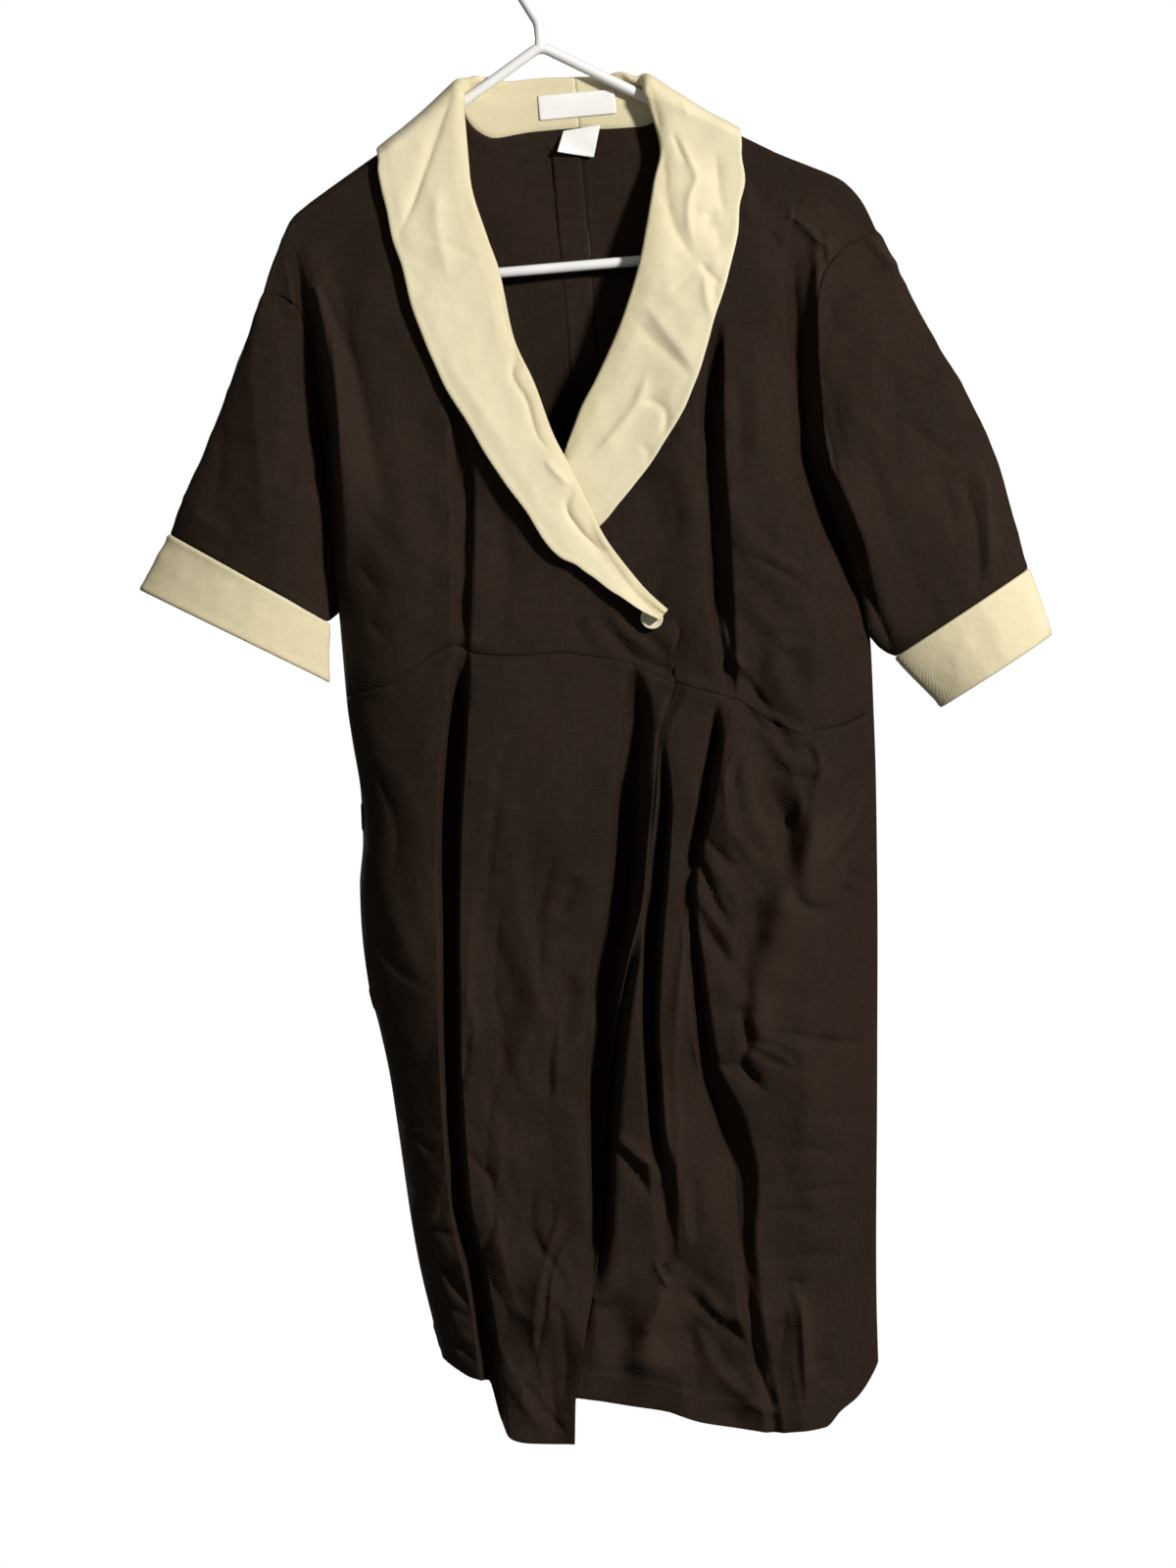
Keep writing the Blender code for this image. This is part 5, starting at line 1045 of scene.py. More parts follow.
def shell(name, grid, thick, finish, closed=False, keep=None, split=0.0, wear_and_highlight=None, creased=None):
    """A thin closed sheet of cloth on a grid of points, with rounded rims.

    Of its thickness, the share split lies outside the grid. keep holds points on their side of a seam.
    """
    keep = keep or (lambda points: points)
    normal = outward(grid, closed)
    outer = keep(grid + split * thick * normal)
    inner = keep(grid - (1 - split) * thick * normal)
    rows, cols = grid.shape[:2]
    index = np.arange(rows * cols).reshape(rows, cols)
    ring = np.concatenate([index, index[:, :1]], axis=1) if closed else index
    a, b, c, d = ring[:-1, :-1], ring[:-1, 1:], ring[1:, 1:], ring[1:, :-1]
    shift = rows * cols
    faces = [np.stack([a, b, c, d], -1).reshape(-1, 4), np.stack([d, c, b, a], -1).reshape(-1, 4) + shift]
    flat_outer, flat_inner = outer.reshape(-1, 3), inner.reshape(-1, 3)
    points = [flat_outer, flat_inner]
    if closed:
        borders = [(index[0], index[1]), (index[-1][::-1], index[-2][::-1])]
    else:
        loop = np.concatenate([index[0], index[1:, -1], index[-1, -2::-1], index[-2:0:-1, 0]])
        beside = np.concatenate([index[1], index[1:, -2], index[-2, -2::-1], index[-2:0:-1, 1]])
        borders = [(loop, beside)]
    start = 2 * shift
    for loop, beside in borders:
        away = flat_outer[loop] - flat_outer[beside]
        away /= np.maximum(np.linalg.norm(away, axis=1, keepdims=True), 1e-9)
        points.append(keep((flat_outer[loop] + flat_inner[loop]) / 2 + RIM_ROUND * thick * away))
        rim = start + np.arange(len(loop))
        after, rim_after = np.roll(loop, -1), np.roll(rim, -1)
        faces.append(np.stack([loop, rim, rim_after, after], -1))
        faces.append(np.stack([rim, loop + shift, after + shift, rim_after], -1))
        start += len(loop)
    points = np.concatenate(points)
    rim_size = len(points) - 2 * shift
    # Rims are paler from rubbing; the given values also hold a painted highlight on raised parts.
    made = {"wear_and_highlight": np.concatenate([wear_and_highlight.ravel(), wear_and_highlight.ravel(), np.ones(rim_size)])}
    if creased is not None:
        made["creased"] = np.concatenate([creased.ravel(), creased.ravel(), np.zeros(rim_size)])
    return piece(name, points, np.concatenate(faces), finish, made)


def piece(name, points, faces, finish, values=None):
    """A smooth-shaded mesh piece with its finish and any values on its points, its faces turned outward."""
    faces = np.asarray(faces)
    fan = points[faces[:, 0]]
    volume = sum(
        np.einsum("ij,ij->i", fan, np.cross(points[faces[:, k]], points[faces[:, k + 1]])).sum()
        for k in range(1, faces.shape[1] - 1)
    )
    if volume < 0:
        faces = faces[:, ::-1]
    mesh = bpy.data.meshes.new(name)
    mesh.from_pydata((points * MM).tolist(), [], faces.tolist())
    mesh.polygons.foreach_set("use_smooth", np.ones(len(mesh.polygons), bool))
    for key, value in (values or {}).items():
        mesh.attributes.new(key, "FLOAT", "POINT").data.foreach_set("value", value.astype(np.float32))
    mesh.materials.append(finish)
    mesh.update()
    made = bpy.data.objects.new(name, mesh)
    bpy.context.collection.objects.link(made)
    return made


def dressed(obj, node):
    """Puts a piece on the root body, and hides the CAD node that it stands for."""
    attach(obj, "root")
    if node:
        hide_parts(node)


def not_through(height, y):
    """The height of a front's creases, with no trough deeper than the cloth behind it."""
    return np.maximum(height, np.minimum(y + 1.0, 0.0))


def blurred(values, times):
    """A grid of values smoothed over its neighbours."""
    for _ in range(times):
        for axis in (0, 1):
            pad = np.pad(values, [(1, 1) if k == axis else (0, 0) for k in (0, 1)], "edge")
            ahead, behind = (pad[2:], pad[:-2]) if axis == 0 else (pad[:, 2:], pad[:, :-2])
            values = 0.5 * values + 0.25 * (ahead + behind)
    return values


def patches(x, z, places_listed):
    """How much each point belongs to the listed places: centre, reach across and down, and share."""
    return sum(
        share * np.exp(-(((x - at_x) / reach_x) ** 2) - ((z - at_z) / reach_z) ** 2)
        for at_x, at_z, reach_x, reach_z, share in places_listed
    )


def bell(distance, width):
    """1 at no distance, falling off to nothing over a width or two."""
    return np.exp(-((distance / width) ** 2))


def crumpled(grid, marks, seams, seed, facing, hem=False):
    """A panel moved forward or back by its creases, with a groove at each sewn edge.

    Gives the moved grid; how pale the colour is made at each point, from rubbing at the hem's edge and as a
    painted highlight on crease ridges; and how crumpled the cloth is at each point.
    """
    x, z = grid[..., 0], grid[..., 2]
    is_bodice = z.max() > UNDERARM
    inside = distance_in(grid, seams)
    from_top = distance_in(grid, ["top"])
    sides = [edge for edge in seams if edge != "bottom" and (edge != "top" or is_bodice)]
    held = smoothstep(distance_in(grid, sides) / SEWN_FADE)
    at_armhole = smoothstep((z - UNDERARM - 5) / 15) * smoothstep(from_top / 25)
    held = held + (1 - held) * at_armhole
    crease = relief(x, z, marks)
    if facing < 0:
        crease = not_through(crease, grid[..., 1])
    amount = np.minimum(CALM + patches(x, z, BACK_PLACES if facing > 0 else CRUMPLED_PLACES), MOST_CRUMPLED)
    fine = facets(x, z, seed + 7, PUCKER, FACET_SIZE) + rumple(x, z, seed + 7, RUMPLE, RUMPLE_SIZE)
    slow = billow(x, z, seed) + amount * fine
    height = crease * (0.25 + 0.75 * held) + smoothstep(inside / SEWN_FADE) * slow
    height = height - SEAM_DIP * bell(inside, SEAM_WIDTH)
    # Painted highlight: the colour is made paler on crease ridges, where light falls; troughs stay as they
    # are.
    wear_and_highlight = np.clip(0.25 + crease / 6.0, 0, 1)
    if hem:
        up = distance_in(grid, ["bottom"])
        height = height + HEM_STEP * smoothstep((HEM_FOLD - up) / 1.5) - HEM_GROOVE * bell(up - HEM_FOLD, 1.3)
        # The hem's folded edge is paler from rubbing.
        wear_and_highlight = np.maximum(wear_and_highlight, 0.9 * np.exp(-up / 2.0))
    if is_bodice:
        deepest = BACK_TROUGH if facing > 0 else FRONT_TROUGH
        height = np.maximum(height, -deepest * ramp(from_top, 35, 95) - 0.1)
    moved = grid.copy()
    if facing < 0:
        eased = np.clip(patches(x, z, EASED_PLACES), 0, 1) * held
        moved[..., 1] += (blurred(moved[..., 1], EASE_PASSES) - moved[..., 1]) * eased
    moved = moved + height[..., None] * facing * Y_AXIS
    moved[..., 1] = np.maximum(moved[..., 1], FRONT_LIMIT)
    for edge, column in (("left", 0), ("right", -1)):
        side_seam = (np.abs(x[:, column]) > SIDE_SEAM_BEYOND) & (z[:, column] < UNDERARM - 5)
        if edge in seams:
            moved[side_seam, column, 1] = 0
    return moved, wear_and_highlight, amount


def panel(name, flat, depth, marks, seams, seed, finish, keep, cell=CELL, hem=False):
    """A panel of the dress from its x and z points, the depth of its surface and its creases."""
    grid = keep(with_depth(finer(flat, depth, cell), depth))
    grid, wear_and_highlight, amount = crumpled(grid, marks, seams, seed, 1 if depth is back_y else -1, hem)
    obj = shell(name + "_cloth", grid, FABRIC, finish, keep=keep, wear_and_highlight=wear_and_highlight, creased=amount)
    dressed(obj, name)
    return grid


def body_side(side, end_z):
    """Points down the armhole and the side seam of one side of the body, and its armhole's points."""
    hole = armhole(side)
    down_side = np.linspace(UNDERARM, end_z, SIDE_ROWS + 1)[1:]
    return np.concatenate([hole, np.column_stack([body_edges[side](down_side), down_side])]), hole


def front_bodice(side, collar, corner, waist, keys, steps):
    """The x and z points of a front bodice panel, and the stations of the collar down its neck seam."""
    outer, hole = body_side(side, (waist[0] if side == "right" else waist[-1])[1])
    stations = [collar.station(d) for d in seam_distances(collar.run[-1])]
    neck = np.array([collar.seam(t, COLLAR_GAP) for t in stations])[:, [0, 2]]
    inner = np.concatenate([neck, np.array(corner)])
    down = np.linspace(0, 1, len(outer))
    top_points = [hole[0]] + [(x, shoulder(x)) for x in np.linspace(hole[0, 0], inner[0, 0], 9)[1:]]
    top_points = np.array(top_points, float)
    if side == "right":
        edges = (path_at(top_points), path_at(waist), outer, inner)
    else:
        edges = (path_at(top_points[::-1]), path_at(waist), inner, outer)
    u = solve_columns(edges, down, keys, steps)
    return stations, over_the_arm(patch(*edges, down, u), u.shape[1])


def spread_over(points):
    """Points of a line by the share of its number of points."""
    span = np.linspace(0, 1, len(points))
    return lambda u: np.column_stack([np.interp(u, span, points[:, k]) for k in (0, 1)])


def skirt(waist_row, hem, left, right, keys, steps):
    """The x and z points of a skirt panel under a waist seam whose columns it shares."""
    down = np.sort(np.concatenate([np.linspace(0, 1, SKIRT_ROWS + 1), [0.02]]))
    top = waist_row - np.array([0, WAIST_GAP])
    hem_points = path(hem, np.linspace(0, 1, 60))
    rim = []
    for edge, high, low in ((left, top[0], hem_points[0]), (right, top[-1], hem_points[-1])):
        z = high[1] + (low[1] - high[1]) * down
        x = edge(z)
        x = x + (high[0] - x[0]) * (1 - down) ** 4 + (low[0] - x[-1]) * down**4
        rim.append(np.column_stack([x, z]))
    edges = (spread_over(top), path_at(hem), rim[0], rim[1])
    u = solve_columns(edges, down, keys, steps)
    blend = smoothstep(down / 0.06)[:, None]
    u = np.linspace(0, 1, len(top))[None, :] * (1 - blend) + u * blend
    return patch(*edges, down, u)


def back_half(side, collar):
    """The x and z points of half of the back bodice, and the stations of the collar along its neck seam."""
    outer, hole = body_side(side, (WAIST_BACK[0] if side == "right" else WAIST_BACK[-1])[1])
    stations = collar.ridge - np.array(BACK_STATIONS)
    neck = np.array([collar.seam(t, BACK_COLLAR_GAP) for t in stations])[:, [0, 2]]
    xs = hole[0, 0] + (neck[0, 0] - hole[0, 0]) * np.array(SHOULDER_SHARES)
    ridge = np.column_stack([xs, shoulder(xs)])
    ridge[0] = hole[0]
    top_points = np.concatenate([ridge, neck[1:]])
    cols = len(top_points)
    span = np.linspace(0, 1, cols)
    middle = neck[-1, 0]
    down = np.linspace(0, 1, len(outer))
    waist = path(WAIST_BACK, np.linspace(0, 1, 81))
    low_x = np.linspace(outer[-1, 0], middle, cols)
    low = np.column_stack([low_x, np.interp(low_x, waist[:, 0], waist[:, 1])])
    fall = neck[-1, 1] + (low[-1, 1] - neck[-1, 1]) * down**1.6
    centre = np.column_stack([np.full(len(down), middle), fall])
    edges = (spread_over(top_points), spread_over(low), outer, centre)
    u = np.tile(span, (len(down), 1))
    u = u ** (1 + 0.25 * smoothstep(down * 1.5))[:, None]
    flat = patch(*edges, down, u)
    for row in range(1, len(OVER_ARM_TURNS)):
        clear = BACK_COLLAR_GAP + row * LEAST_SPAN / (len(OVER_ARM_TURNS) - 1)
        flat[row, len(xs) - 1 :, 0] = [collar.seam(t, clear)[0] for t in stations]
    return over_the_arm(flat, len(xs)), stations


def collar_half(side, collar, front_stations, back_stations, seed, finish, pucker):
    """Half of the collar, from the centre back to the tip, with a rounded roll and a turned edge."""
    stations = np.array(list(back_stations[::-1]) + list(front_stations[1:]))
    coarse = np.array([collar.row(t) for t in stations])
    rows = places(coarse, CELL, 30)
    t = at_rows(stations[:, None], rows)[:, 0]
    profiles = at_rows(np.array([collar.profile(s) for s in stations]), rows)
    steps = places(np.swapaxes(coarse, 0, 1), 2.0, 18)
    profiles = np.swapaxes(at_rows(np.swapaxes(profiles, 0, 1), steps), 0, 1)
    distance, height = profiles[..., 0], profiles[..., 1]
    x, g = collar.foot(t[:, None], distance)
    grid = lifted(x, g, height, collar.front)
    past_shoulder = rows - (len(back_stations) - 2)
    round_back = (1 - smoothstep(past_shoulder))[:, None, None]
    grid = grid * (1 - round_back) + at_grid(coarse, rows, steps) * round_back
    normal = outward(grid, False)
    x, z = grid[..., 0], grid[..., 2]
    outer_side = smoothstep((steps - PAST_ROLL) / 1.5)[None, :]
    front_only = smoothstep(past_shoulder / 3.0)[:, None]
    edge, inner = distance_in(grid, ["right"]), distance_in(grid, ["left"])
    lift = relief(x, z, CREASES_COLLAR) * (0.4 + 0.6 * smoothstep(edge / 8.0))
    lift = lift + rumple(x, z, seed, pucker, 38.0) * smoothstep(edge / 12.0)
    tilt = (inner - PUFF_FROM) / np.maximum(inner - PUFF_FROM + edge, 1.0)
    across = smoothstep((inner - PUFF_FROM) / 12.0)
    puffed = COLLAR_STAND_OFF * np.clip(tilt, 0, 1) + COLLAR_PUFF * smoothstep(edge / 14.0) * across
    if side == "left":
        puffed = puffed * smoothstep((z - HIDDEN_BELOW) / 40.0)
    ends = smoothstep(distance_in(grid, ["top"]) / 6.0)
    lift = np.maximum(lift + puffed, -1.0) * outer_side * (0.1 + 0.9 * front_only) * ends
    lift = lift + 0.25 * outer_side * bell(edge - 2.4, 1.4) - 0.2 * outer_side * bell(edge, 0.9)
    forward = (front_only * outer_side)[..., None]
    way = normal * (1 - forward) - Y_AXIS * forward
    grid = grid + lift[..., None] * way
    name = "collar_" + side
    # Painted highlight: the colour is paler where the collar is lifted, on its creases and its raised outer
    # part.
    obj = shell(name + "_cloth", grid, COLLAR_CLOTH, finish, split=0.5, wear_and_highlight=np.clip(0.3 + lift / 4, 0, 1))
    dressed(obj, name)


def along_ring(grid):
    """How far down its length each row of a tube's grid is, from 0 to 1."""
    run = np.linalg.norm(np.diff(grid.mean(axis=1), axis=0), axis=1)
    return (np.concatenate([[0], np.cumsum(run)]) / run.sum())[:, None]


def closed_finer(grid, cell):
    """A ring-shaped grid at a finer step, and the places of its new columns."""
    wide = np.concatenate([grid[:, -3:], grid, grid[:, :4]], axis=1)
    rows = places(wide, cell, 18)
    cols = places(np.swapaxes(wide[:, 3:-3], 0, 1), cell, 12)[:-1]
    return at_grid(wide, rows, cols + 3), cols


def ring_of(flat, front, back):
    """A ring of points: down its front half, then up its back half."""
    halves = [np.column_stack([flat[:, 0], y, flat[:, 1]]) for y in (front, back)]
    return np.concatenate([halves[0], halves[1][-2:0:-1]])


def sleeve(side, top, under, cuff_end, seed, finish, cuff_finish):
    """A sleeve and its cuff: rings from the armhole to the cuff's edge, front half then back half."""
    front = over_y if side == "right" else under_y
    body_hole, hole = armhole(side), armhole(side, drop=SLEEVE_GAP)
    shares = run_along(hole)
    shares /= shares[-1]
    along = np.array(SLEEVE_SHARES)
    high = path(top, along)
    low = path(under, along)
    high[:, 0] += np.sign(high[0, 0]) * SLEEVE_GAP * (1 - along)
    low[:, 0] += np.sign(low[0, 0]) * SLEEVE_GAP
    high[0], low[0] = hole[0], hole[-1]
    tucked = smoothstep(along / 0.06) * (1 - smoothstep((along - 0.86) / 0.14))
    inward = body_edges[side](low[:, 1]) - low[:, 0]
    low[:, 0] += tucked * (inward + np.sign(inward) * TUCK)
    even = (1 - np.cos(np.pi * np.linspace(0, 1, len(shares)))) / 2
    depth_line = Line(SLEEVE_DEPTH)
    rounding = np.sin(np.pi * even) ** SIDE_POWER
    rings = []
    for i, f in enumerate(along):
        mix = smoothstep(f / SLEEVE_SETTLED)
        v = shares * (1 - mix) + even * mix
        line = high[i] + (low[i] - high[i]) * v[:, None]
        bow = hole - (hole[0] + (hole[-1] - hole[0]) * shares[:, None])
        behind = TUCK_DEPTH[side] * tucked[i] * smoothstep((v - 0.7) / 0.3)
        halves = []
        for surface, sign in ((front, -1), (back_y, 1)):
            start = np.abs(surface(body_hole[:, 0], body_hole[:, 1]))
            start[0] = start[-1] = 0.0
            halves.append(sign * (start * (1 - mix) + depth_line(f) * rounding * mix) + behind)
        rings.append(ring_of(line + bow * (1 - f) ** 3, *halves))
    coarse = np.array(rings)
    grid, cols = closed_finer(coarse, SLEEVE_CELL)
    normal = outward(grid, True)
    facing = -normal[..., 1]
    x, z = grid[..., 0], grid[..., 2]
    inside = distance_in(grid, ["top", "bottom"])
    fade = smoothstep(inside / SEWN_FADE)
    crease = relief(x, z, CREASES_SLEEVES) * np.clip(facing * 1.6, 0, 1)
    shift_x, shift_z = SLEEVE_BACK_SHIFT
    crease = crease + relief(x + shift_x, z + shift_z, CREASES_SLEEVES) * np.clip(-facing * 1.6, 0, 1)
    height = crease * (0.3 + 0.7 * fade)
    height = height + fade * (billow(x, z + grid[..., 1], seed, 1.1) + rumple(x, z, seed + 5, 0.7, 44.0))
    height = height - SEAM_DIP * bell(inside, SEAM_WIDTH)
    front_half = smoothstep((len(even) + 0.5 - cols) / 1.5) * smoothstep(cols / 3.0)
    shared = relief(x, z, CREASES_ARMHOLE) * front_half * (1 - smoothstep((along_ring(grid) - 0.8) / 0.2))
    shared = not_through(shared, grid[..., 1])
    grid = grid + height[..., None] * normal - shared[..., None] * Y_AXIS
    lip = grid[:1] * (1, 0.5, 1) - (np.sign(hole[0, 0]) * SEAM_LIP, 0, 0)
    # Painted highlight: paler colour on the ridges of the sleeve's creases.
    wear_and_highlight = np.clip(0.25 + crease / 6, 0, 1)
    name = "sleeve_" + side
    obj = shell(name + "_cloth", np.concatenate([lip, grid]), FABRIC, finish, closed=True,
                wear_and_highlight=np.concatenate([wear_and_highlight[:1], wear_and_highlight]), creased=np.full((len(grid) + 1, x.shape[1]), 0.35))
    dressed(obj, name)
    cuff(side, coarse[-1], (high[-1], low[-1]), cuff_end, even, seed, cuff_finish)


def cuff(side, last, start, end, even, seed, finish):
    """The cuff goes on from the sleeve's last ring, a little proud of it, with a rolled seam and an edge."""
    start, end = np.array(start), np.array(end, float)
    length = np.linalg.norm((end - start).mean(axis=0))
    centre = last.mean(axis=0)
    rings = []
    for f in (2 * SEAM_GAP / length, 0.25, 0.5, 0.75, 1.0):
        line = start + (end - start) * f
        flat = line[0] + (line[1] - line[0]) * even[:, None]
        depth = np.abs(last[: len(even), 1]) * (1 + CUFF_FLARE * f)
        out = flat - centre[[0, 2]]
        across = (line[0] - line[1]) / np.linalg.norm(line[0] - line[1])
        push = np.sign(out @ across)[:, None] * across * CUFF_PROUD * np.abs(np.cos(np.pi * even))[:, None]
        y = depth + CUFF_PROUD * np.sin(np.pi * even)
        rings.append(ring_of(flat + push, -y, y))
    grid, _ = closed_finer(np.array(rings), CUFF_CELL)
    x, z = grid[..., 0], grid[..., 2]
    inside = distance_in(grid, ["top", "bottom"])
    upper = distance_in(grid, ["top"])
    height = 0.45 * bell(upper - 1.4, 1.0) - 0.5 * bell(inside, 0.8)
    slow = rumple(x, z, seed + 3, 0.4, 40.0) + 0.5 * billow(x, z, seed + 4, 0.8)
    height = height + smoothstep(inside / 8) * slow
    grid = grid + height[..., None] * outward(grid, True)
    name = "cuff_" + side
    # Paler on the rolled top edge from rubbing, and a painted highlight on the cuff's small bumps.
    obj = shell(name + "_cloth", grid, CUFF_CLOTH, finish, closed=True, wear_and_highlight=np.clip(height + 0.3, 0, 1))
    dressed(obj, name)


def strip(name, grid, cell, thick, finish):
    """A small flat piece of cloth or label from a coarse grid of points."""
    rows, cols = places(grid, cell), places(np.swapaxes(grid, 0, 1), cell)
    grid = at_grid(grid, rows, cols)
    dressed(shell(name + "_cloth", grid, thick, finish, wear_and_highlight=np.full(grid.shape[:2], 0.3)), name)
    return grid


def back_pleat(finish):
    """The pressed allowance beside the centre-back seam, on the back's inner face."""
    x, z = np.meshgrid(np.linspace(*PLEAT_X, 4), np.linspace(*PLEAT_Z, 9))
    y = back_y(x, z) - CLOTH - PLEAT_GAP
    grid = np.stack([x, y, z], axis=-1)
    strip("back_pleat", grid, 3.0, FABRIC, finish)


def neck_label(collar, finish):
    """A bare label on the inside of the stand at the centre back."""
    middle, level, width, height = NECK_LABEL
    xs = np.linspace(middle - width / 2, middle + width / 2, 9)
    zs = np.linspace(level + height / 2, level - height / 2, 4)
    rows = []
    for z in zs:
        inner = collar.stand_height(0, COLLAR_ROLL - z) - COLLAR_CLOTH / 2 - SEAM_GAP - LABEL_GAP
        rows.append([lifted(x, around(x, z), inner, over_y) for x in xs])
    return strip("neck_label", np.array(rows), 1.5, 0.7, finish)


def care_label(finish):
    """A bare care label that hangs from the neck seam, its lower left corner curled forward."""
    corners = np.array(CARE_LABEL, float)
    rows = []
    for v in np.linspace(0, 1, 6):
        row = []
        for u in np.linspace(0, 1, 6):
            top = corners[0] + (corners[1] - corners[0]) * u
            low = corners[3] + (corners[2] - corners[3]) * u
            x, z = top + (low - top) * v
            curl = CARE_CURL * float(smoothstep(v / 0.5)) + CORNER_CURL * max(0.0, v - u) ** 2 + v * v
            row.append((x, back_y(x, z) - CLOTH - CARE_LABEL_GAP - curl, z))
        rows.append(row)
    return strip("care_label", np.array(rows), 1.2, 0.6, finish)


def button(finish):
    """A dished round button on the right front, partly under the collar's tip. Gives its threads' lines."""
    x, z = BUTTON_CENTRE
    middle = lifted(x, -around(x, z), 0, over_y)
    facing = middle - lifted(x, -around(x, z), -1, over_y)
    facing /= np.linalg.norm(facing)
    across = np.cross([0, 0, 1], facing)
    across /= np.linalg.norm(across)
    up = np.cross(facing, across)
    base, r, sides = BUTTON_BASE, BUTTON_RADIUS, BUTTON_SIDES
    top, dish = base + BUTTON_THICK, base + BUTTON_THICK - BUTTON_RIM
    profile = [  # radius and height, from the middle of the back to the middle of the face
        (0, base), (r - 1.4, base), (r - 0.6, base + 0.2), (r - 0.1, base + 0.8), (r, base + 1.3),
        (r - 0.1, top - 0.6), (r - 0.5, top - 0.15), (r - 1.1, top), (r - 1.7, top - 0.12),
        (r - 2.3, dish + 0.15), (r - 3.2, dish), (0, dish),
    ]
    points, faces = [], []
    for radius, height in profile:
        for k in range(1 if radius == 0 else sides):
            angle = 2 * math.pi * k / sides
            around_axis = math.cos(angle) * across + math.sin(angle) * up
            points.append(middle + radius * around_axis + height * facing)
    starts = [0] + [1 + sides * k for k in range(len(profile) - 1)]
    for k in range(sides):
        n = (k + 1) % sides
        faces.append((0, 1 + n, 1 + k))
        for a, b in zip(starts[1:-2], starts[2:-1]):
            faces.extend([(a + k, a + n, b + n), (a + k, b + n, b + k)])
        faces.append((starts[-2] + k, starts[-2] + n, starts[-1]))
    dressed(piece("button_disc", np.array(points), faces, finish), "button")
    holes = [middle + (dish + 0.02) * facing + 1.5 * (a * across + b * up) for a in (-1, 1) for b in (-1, 1)]
    return [(np.array(line), facing) for line in ((holes[0], holes[3]), (holes[1], holes[2]))]


def arc(centre, radius, start, end, steps):
    return [
        (centre[0] + radius * math.cos(a), centre[1] + radius * math.sin(a))
        for a in np.radians(np.linspace(start, end, steps + 1))
    ]


def tube_faces(base, rings, sides, closed=False):
    """Triangles of a tube whose rings of points start at base: with flat ends, or closed to a loop."""
    faces = []
    for i in range(rings if closed else rings - 1):
        here, there = base + i * sides, base + (i + 1) % rings * sides
        for k in range(sides):
            after = (k + 1) % sides
            a, b, c, d = here + k, here + after, there + after, there + k
            faces.extend([(a, b, c), (a, c, d)])
    if not closed:
        last = base + (rings - 1) * sides
        for k in range(1, sides - 1):
            faces.extend([(base, base + k + 1, base + k), (last, last + k, last + k + 1)])
    return faces


def tube(name, route, closed, finish):
    """A round tube with a faint moulding seam, along a route of x and z points in the hanger's plane."""
    route = np.array(route, float)
    ahead = np.roll(route, -1, axis=0) - route
    behind = route - np.roll(route, 1, axis=0)
    if not closed:
        ahead[-1], behind[0] = behind[-1], ahead[0]
    way = ahead / np.linalg.norm(ahead, axis=1)[:, None] + behind / np.linalg.norm(behind, axis=1)[:, None]
    way /= np.linalg.norm(way, axis=1)[:, None]
    points = []
    for (x, z), (dx, dz) in zip(route, way):
        for k in range(TUBE_SIDES):
            angle = 2 * math.pi * (k + 0.5) / TUBE_SIDES
            ridge = 0.12 * math.exp(-((math.cos(angle) - 0.996) ** 2) / 2e-4)
            out, side = (TUBE_RADIUS + ridge) * math.cos(angle), TUBE_RADIUS * math.sin(angle)
            points.append((x - dz * out, side, z + dx * out))
    return piece(name, np.array(points), tube_faces(0, len(route), TUBE_SIDES, closed), finish)


def hanger(finish):
    """The tube hanger: a triangle with round ends, and a hook fused to its top."""
    tilt = math.atan(ARM_SLOPE)
    tangent = END_RADIUS / math.tan(tilt / 2)
    centre = ((HANGER_TOP - HANGER_BAR) / ARM_SLOPE - tangent, HANGER_BAR + END_RADIUS)
    turn = math.degrees(tilt)
    end = arc(centre, END_RADIUS, 90 - turn, -90, 22)
    route = arc((0, HANGER_TOP - 12 / math.cos(tilt)), 12, 90 + turn, 90 - turn, 12)
    route += end + [(0, HANGER_BAR)] + [(-x, z) for x, z in reversed(end)]
    body = tube("hanger_tube", route, True, finish)
    stem = [(x, HANGER_TOP + up) for x, up in ((0, -2), (0, 8), (0, 16), (-1, 20), (-3, 24))]
    crown = HOOK_RADIUS - TUBE_RADIUS
    hook = tube("hook_shape", stem + arc((0, -crown), HOOK_RADIUS, 232, -12, 44), False, finish)
    join = body.modifiers.new("hook", "BOOLEAN")
    join.operation = "UNION"
    join.object = hook
    joined = bpy.data.meshes.new_from_object(body.evaluated_get(bpy.context.evaluated_depsgraph_get()))
    body.modifiers.clear()
    body.data = joined
    bpy.data.objects.remove(hook, do_unlink=True)
    joined.polygons.foreach_set("use_smooth", np.ones(len(joined.polygons), bool))
    dressed(body, "hanger")


def point_at(distance, run, points):
    """The point at a distance along a line, where run holds the distance to each of its points."""
    return np.array([np.interp(distance, run, points[:, k]) for k in range(3)])


def stitches(name, runs, length, gap, radius, finish):
    """Short threads along lines on the cloth: runs are the points of a line and the way out of the cloth."""
    points, faces = [], []
    for line, out in runs:
        line = np.array(line, float)
        run = run_along(line)
        outs = np.broadcast_to(out, line.shape)
        count = max(1, int((run[-1] + gap) / (length + gap)))
        first = (run[-1] - count * length - (count - 1) * gap) / 2
        for s in range(count):
            start = first + s * (length + gap)
            ends = [point_at(d, run, line) for d in (start, start + length)]
            up = point_at(start, run, outs)
            way = (ends[1] - ends[0]) / max(np.linalg.norm(ends[1] - ends[0]), 1e-6)
            up = up - (up @ way) * way
            up /= np.linalg.norm(up)
            side = np.cross(way, up)
            faces.extend(tube_faces(len(points), len(STITCH), STITCH_SIDES))
            for share, size, lift in STITCH:
                middle = ends[0] + (ends[1] - ends[0]) * share + up * radius * lift
                for k in range(STITCH_SIDES):
                    angle = 2 * math.pi * k / STITCH_SIDES
                    points.append(middle + radius * size * (math.cos(angle) * up + math.sin(angle) * side))
    dressed(piece(name, np.array(points), faces, finish), None)


